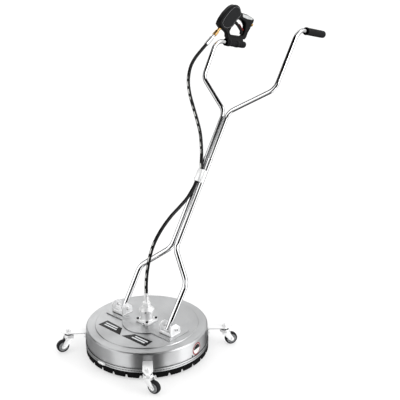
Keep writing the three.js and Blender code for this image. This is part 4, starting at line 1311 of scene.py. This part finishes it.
def rounded_side(skin, hole, low, high, way):
    """A cheek with a rounded outer edge, a rounded guard opening and a square face by the slot."""
    steps = 8
    depth = high - low
    levels = [0.0] + [math.sin(math.pi / 2 * k / steps) for k in range(steps + 1)]

    def layer(loop, k, reach, more):
        share = 1 - math.cos(math.pi / 2 * max(0, k - 1) / steps)
        slim, full = inset(loop, reach * share), inset(loop, (reach + more) * share)
        made = []
        for a, b, p in zip(slim, full, loop):
            rise = cheek_depth(p, depth) * levels[k]
            height = low + rise if way > 0 else high - rise
            made.append(Vector((*Vector(a).lerp(Vector(b), plump(p)), height)))
        return made

    both = ((skin, 3.6, 5.4), (hole, 6.5, 0.0))
    shapes = [stacked([layer(loop, k, reach, more) for k in range(1, steps + 2)])
              for loop, reach, more in both]
    shapes += [filled([layer(loop, k, reach, more) for loop, reach, more in both]) for k in (1, steps + 1)]
    return joined(*shapes)


def gun_core():
    """The spine between the cheeks, open where the trigger moves."""
    rim = inset(turned_over(fillet(SKIN, 4, 6)), 0.5)
    return plate(rim, -CORE_HALF, CORE_HALF, 0.1, [fillet(RECESS, 3, 4)])


def gun():
    shell = joined(gun_wall(1), gun_wall(-1), gun_core())
    piece("gun_shell", shell, "gun", "handle", place=GUN_FRAME, stands_for=["gun_body"], crease=30)
    outline = turned_over(fillet(PANEL, 8, 6))
    border = turned_over(inset(outline, 0.9))
    strip = turned_over(fillet(INSERT, 3, 5))
    for name, way in (("inner", 1), ("outer", -1)):
        face = GUN_HALF * way
        # The thin light grey lip round each panel is a painted highlight along the panel's edge.
        for part, look, under, over, sheet in (
                ("panel", "panel", -0.5, 0.7, (outline, 0.5)),
                ("highlight_seam", "wheel", 0.5, 1.0, (outline, 0.1, [border])),
                ("insert", "insert", -1.5, 0.6, (strip, 0.5))):
            low, high = sorted((face + under * way, face + over * way))
            shape = plate(sheet[0], low, high, *sheet[1:])
            piece(f"gun_{part}_{name}", shape, look, "handle", place=GUN_FRAME)
        for k, (x, y) in enumerate([(-88, 12), (14, 58), (-34, 4), (104, -18), (64, -71), (-54, -48)], 1):
            seat = SLOT_HALF + cheek_depth((x, y), GUN_HALF - SLOT_HALF) + (0.7 if k <= 3 else 0.0)
            spot = GUN_FRAME @ aimed((x, y, (seat - 0.5) * way), Vector((0, 0, way)))
            piece(f"gun_screw_{name}_{k}", socket_screw(2.9, 1.1), "oxide", "handle", place=spot)
    gun_moving_parts()
    gun_fittings()


def gun_moving_parts():
    pivot = Vector((-14, 8))
    blade = [(pivot.x + 9 * math.cos(math.radians(a)), pivot.y + 9 * math.sin(math.radians(a)), 0)
             for a in range(70, 236, 11)]
    blade += [(0, -5, 8), (12, -6, 14), (26, -17, 30), (49, -42, 8), (45, -55, 5), (52, -58, 5),
              (60, -51, 5), (61, -45, 6), (53, -31, 20), (31, -8, 14), (20, 3, 14), (2, 13, 12)]
    lever = plate(turned_over(clockwise(fillet(blade, 3, 6))), -5.5, 5.5, 1.8, steps=4)
    piece("trigger_blade", lever, "gun", "trigger", place=GUN_FRAME, stands_for=["gun_trigger"])
    flap = [(35.5, -9.5, 2), (57, -32.5, 6), (63.5, -41.5, 3), (67.5, -39.5, 2.5), (66, -35, 3),
            (60.5, -31, 8), (39.5, -7, 2)]
    lock = plate(turned_over(clockwise(fillet(flap, 2, 5))), -3.6, 3.6, 1.0)
    piece("lock_flap", lock, "lock", "safety_lock", place=GUN_FRAME, stands_for=["trigger_lock"])


def gun_fittings():
    out = aimed(OUTLET, OUTLET_AXIS, AXIS_X)
    stub = joined(lathe(fillet([(0, 0.3, 0), (7.2, 0.3), (7.2, 16, 0.5), (6.4, 17), (6.4, 19),
                                (7.2, 20, 0.5), (7.2, 27.5), (0, 27.5, 0)], 0.4, 2), 48),
                  hexagon(18.2, 26.3, 52.2, 1.2))
    piece("outlet_fitting", stub, "brass", "handle", place=out, stands_for=["gun_outlet"])
    ferrule = joined(rod(6, 52.6, 72, 0.4, 40),
                     lathe(fillet([(0, 70, 0), (8.6, 70), (9.5, 72.5, 0.8), (9.5, 78, 0.8), (8.9, 79.5, 0.6),
                                   (9.5, 81, 0.8), (9.5, 106, 0.8), (8.9, 107.5, 0.6), (9.5, 109, 0.8),
                                   (9.5, 117.7, 1.0), (0, 117.7, 0)], 0.8, 3), 56))
    piece("hose_fitting_upper", ferrule, "chrome", "handle", place=out, stands_for=["hose_end_upper"])
    inlet = aimed(GUN + Vector((0, 122, -13)), INLET_AXIS, AXIS_X)
    bore = lathe(fillet([(3.4, 9, 0), (7.0, 9, 0), (7.0, 17, 0.6), (3.4, 17, 0.3)], 0.4, 2), 40)
    body = joined(rod(7, 0, 12, 0.3, 40), hexagon(14.9, 6, 16.6, 1.1, 3.5))
    piece("inlet_fitting", joined(body, bore), "brass", "handle", place=inlet, stands_for=["gun_inlet"])


def gun_rest():
    """The block under the gun, its roof let into the gun's underside, hollowed below for the left grip."""
    top = riser_top("left")
    slope = math.atan2(GRIP_DIRECTION.z, GRIP_DIRECTION.y)
    reach = GRIP_RADIUS + 2
    half, steps = 11, 20
    front, back = -52, 56
    roof_front, roof_back, foot_front, foot_back = -55.2, -74.6, -84, -100
    rows = []
    for y in range(front, back + 1, 4):
        share = (y - front) / (back - front)
        roof = roof_front + (roof_back - roof_front) * share
        foot = foot_front + (foot_back - foot_front) * share
        middle = top.z + (GUN.y + y - top.y) * math.tan(slope) - GUN.z
        row = [(y, roof, -half), (y, roof, half), (y, foot, half)]
        for k in range(1, steps):
            x = half - 2 * half * k / steps
            arch = middle + math.sqrt(max(0.0, reach ** 2 - x ** 2)) / math.cos(slope)
            row.append((y, max(foot, min(arch, roof - 2)), x))
        row.append((y, foot, -half))
        rows.append(row)
    vertices, faces = stacked(rows)
    for row, start in ((rows[0], 0), (rows[-1], len(vertices) - len(rows[-1]))):
        loop = [Vector((height, x, 0)) for _, height, x in row]
        faces += [tuple(start + i for i in triangle) for triangle in tessellate([loop])]
    piece("gun_saddle", (vertices, faces), "gun", "handle", place=GUN_FRAME, stands_for=["gun_rest"])
    band = sleeve(GRIP_RADIUS + 0.3, GRIP_RADIUS + 2.2, -7, 7, 0.5, 3, 64)
    for k, share in enumerate((0.14, 0.56), 1):
        spot = top + GRIP_DIRECTION * (GRIP_START["left"] + GRIP_LENGTH * share)
        piece(f"saddle_strap_{k}", band, "gun", "handle", place=aimed(spot, GRIP_DIRECTION, AXIS_X))


# ---------------------------------------------------------------- plain plates and badge
def deck_labels():
    """Two dark plates of two plain bars each, where such a machine carries its notices."""
    for name, side in (("left", -1), ("right", 1)):
        corners = [(side * x, y) for x, y in ((137, -150), (133, -102), (38, -108), (5, -152))]
        corners = turned_over(clockwise(corners))
        base = plate(fillet(corners, 1.2), DISC_TOP, DISC_TOP + 0.5, 0.15)
        piece(f"notice_{name}", base, "enamel", "deck")
        low, high = DISC_TOP + 0.4, DISC_TOP + 0.8
        shapes = []
        for y, half, start, end in ((-120, 3.4, 52, 122), (-133, 3.4, 46, 118)):
            x0, x1 = sorted((side * start, side * end))
            shapes.append(box(x0, x1, y - half, y + half, low, high, 0.05))
        piece(f"notice_ink_{name}", joined(*shapes), "silver_ink", "deck")


def wrapped(outline, low, high):
    """A thin plate laid round the deck wall: its own x runs round the wall, y up and z outwards."""
    vertices, faces = outline
    bent = []
    for v in vertices:
        angle = v[0] / DECK_RADIUS
        radius = DECK_RADIUS + low + (high - low) * v[2]
        bent.append((radius * math.cos(angle), radius * math.sin(angle), v[1]))
    return bent, faces


def wall_badge():
    """A plain round badge on the deck wall: red ring, white field and a dark upper half."""
    heading, height, radius = math.radians(6.5), 77, 26
    place = Matrix.Rotation(heading, 4, "Z")
    steps, rows = 64, 12
    row = steps + 1
    layer = (rows + 1) * row

    def disc(size, low, high, share=1.0):
        """A disc, or a sector of that share of it, in rings from its middle outwards so that it can bend."""
        vertices = []
        for k in range(2 * (rows + 1)):
            z, step = divmod(k, rows + 1)
            r = size * step / rows
            for i in range(row):
                angle = share * TURN * i / steps
                vertices.append((r * math.cos(angle), height + r * math.sin(angle), z))
        starts = [base + k * row + i for base in (0, layer) for k in range(rows) for i in range(steps)]
        faces = [(a, a + 1, a + row + 1, a + row) for a in starts]
        edge = range(rows * row, rows * row + steps)
        faces += [(a, a + 1, a + 1 + layer, a + layer) for a in edge]
        if share < 1:
            sides = [k * row + i for i in (0, steps) for k in range(rows)]
            faces += [(a, a + row, a + row + layer, a + layer) for a in sides]
        return wrapped((vertices, faces), low, high)

    piece("badge_ring", disc(radius, 0.0, 0.25), "red_ink", "deck", place=place)
    piece("badge_field", disc(radius - 4.6, 0.15, 0.45), "white_ink", "deck", place=place)
    piece("badge_half", disc(radius - 6, 0.35, 0.6, 0.5), "enamel", "deck", place=place)
    clip = joined(rod(3.2, 0, 1.6, 0.5, 28), rod(1.4, 1.4, 2.6, 0.4, 20))
    piece("skirt_rivet", clip, "oxide", "deck",
          place=aimed((DECK_RADIUS, 0, 56), AXIS_X, AXIS_Y))


def bearings():
    for name in ("lower", "upper"):
        node = f"swivel_bearing_{name}"
        low, high = low_z(node), high_z(node)
        inner, outer, middle = 10.4, 17.9, (low + high) / 2
        races = joined(sleeve(inner, inner + 2.1, low, high, 0.5, 3, 64),
                       sleeve(outer - 2.1, outer, low, high, 0.5, 3, 64),
                       sleeve(inner + 2.0, outer - 2.0, low + 0.8, high - 0.8, sides=64))
        piece(f"ball_bearing_{name}", shifted(races, z=-middle), "bearing", "deck",
              place=Matrix.Translation((0, 0, middle)), stands_for=[node])


# ---------------------------------------------------------------- assembly
def build():
    add_camera()
    add_hose()
    add_studio()
    deck_shell()
    rim_band()
    brush_skirt()
    top_plate()
    deck_labels()
    wall_badge()
    swivel()
    flange_bolts()
    lower_hose_end()
    bearings()
    rotor()
    casters()
    handle()
    gun()
    gun_rest()


build()
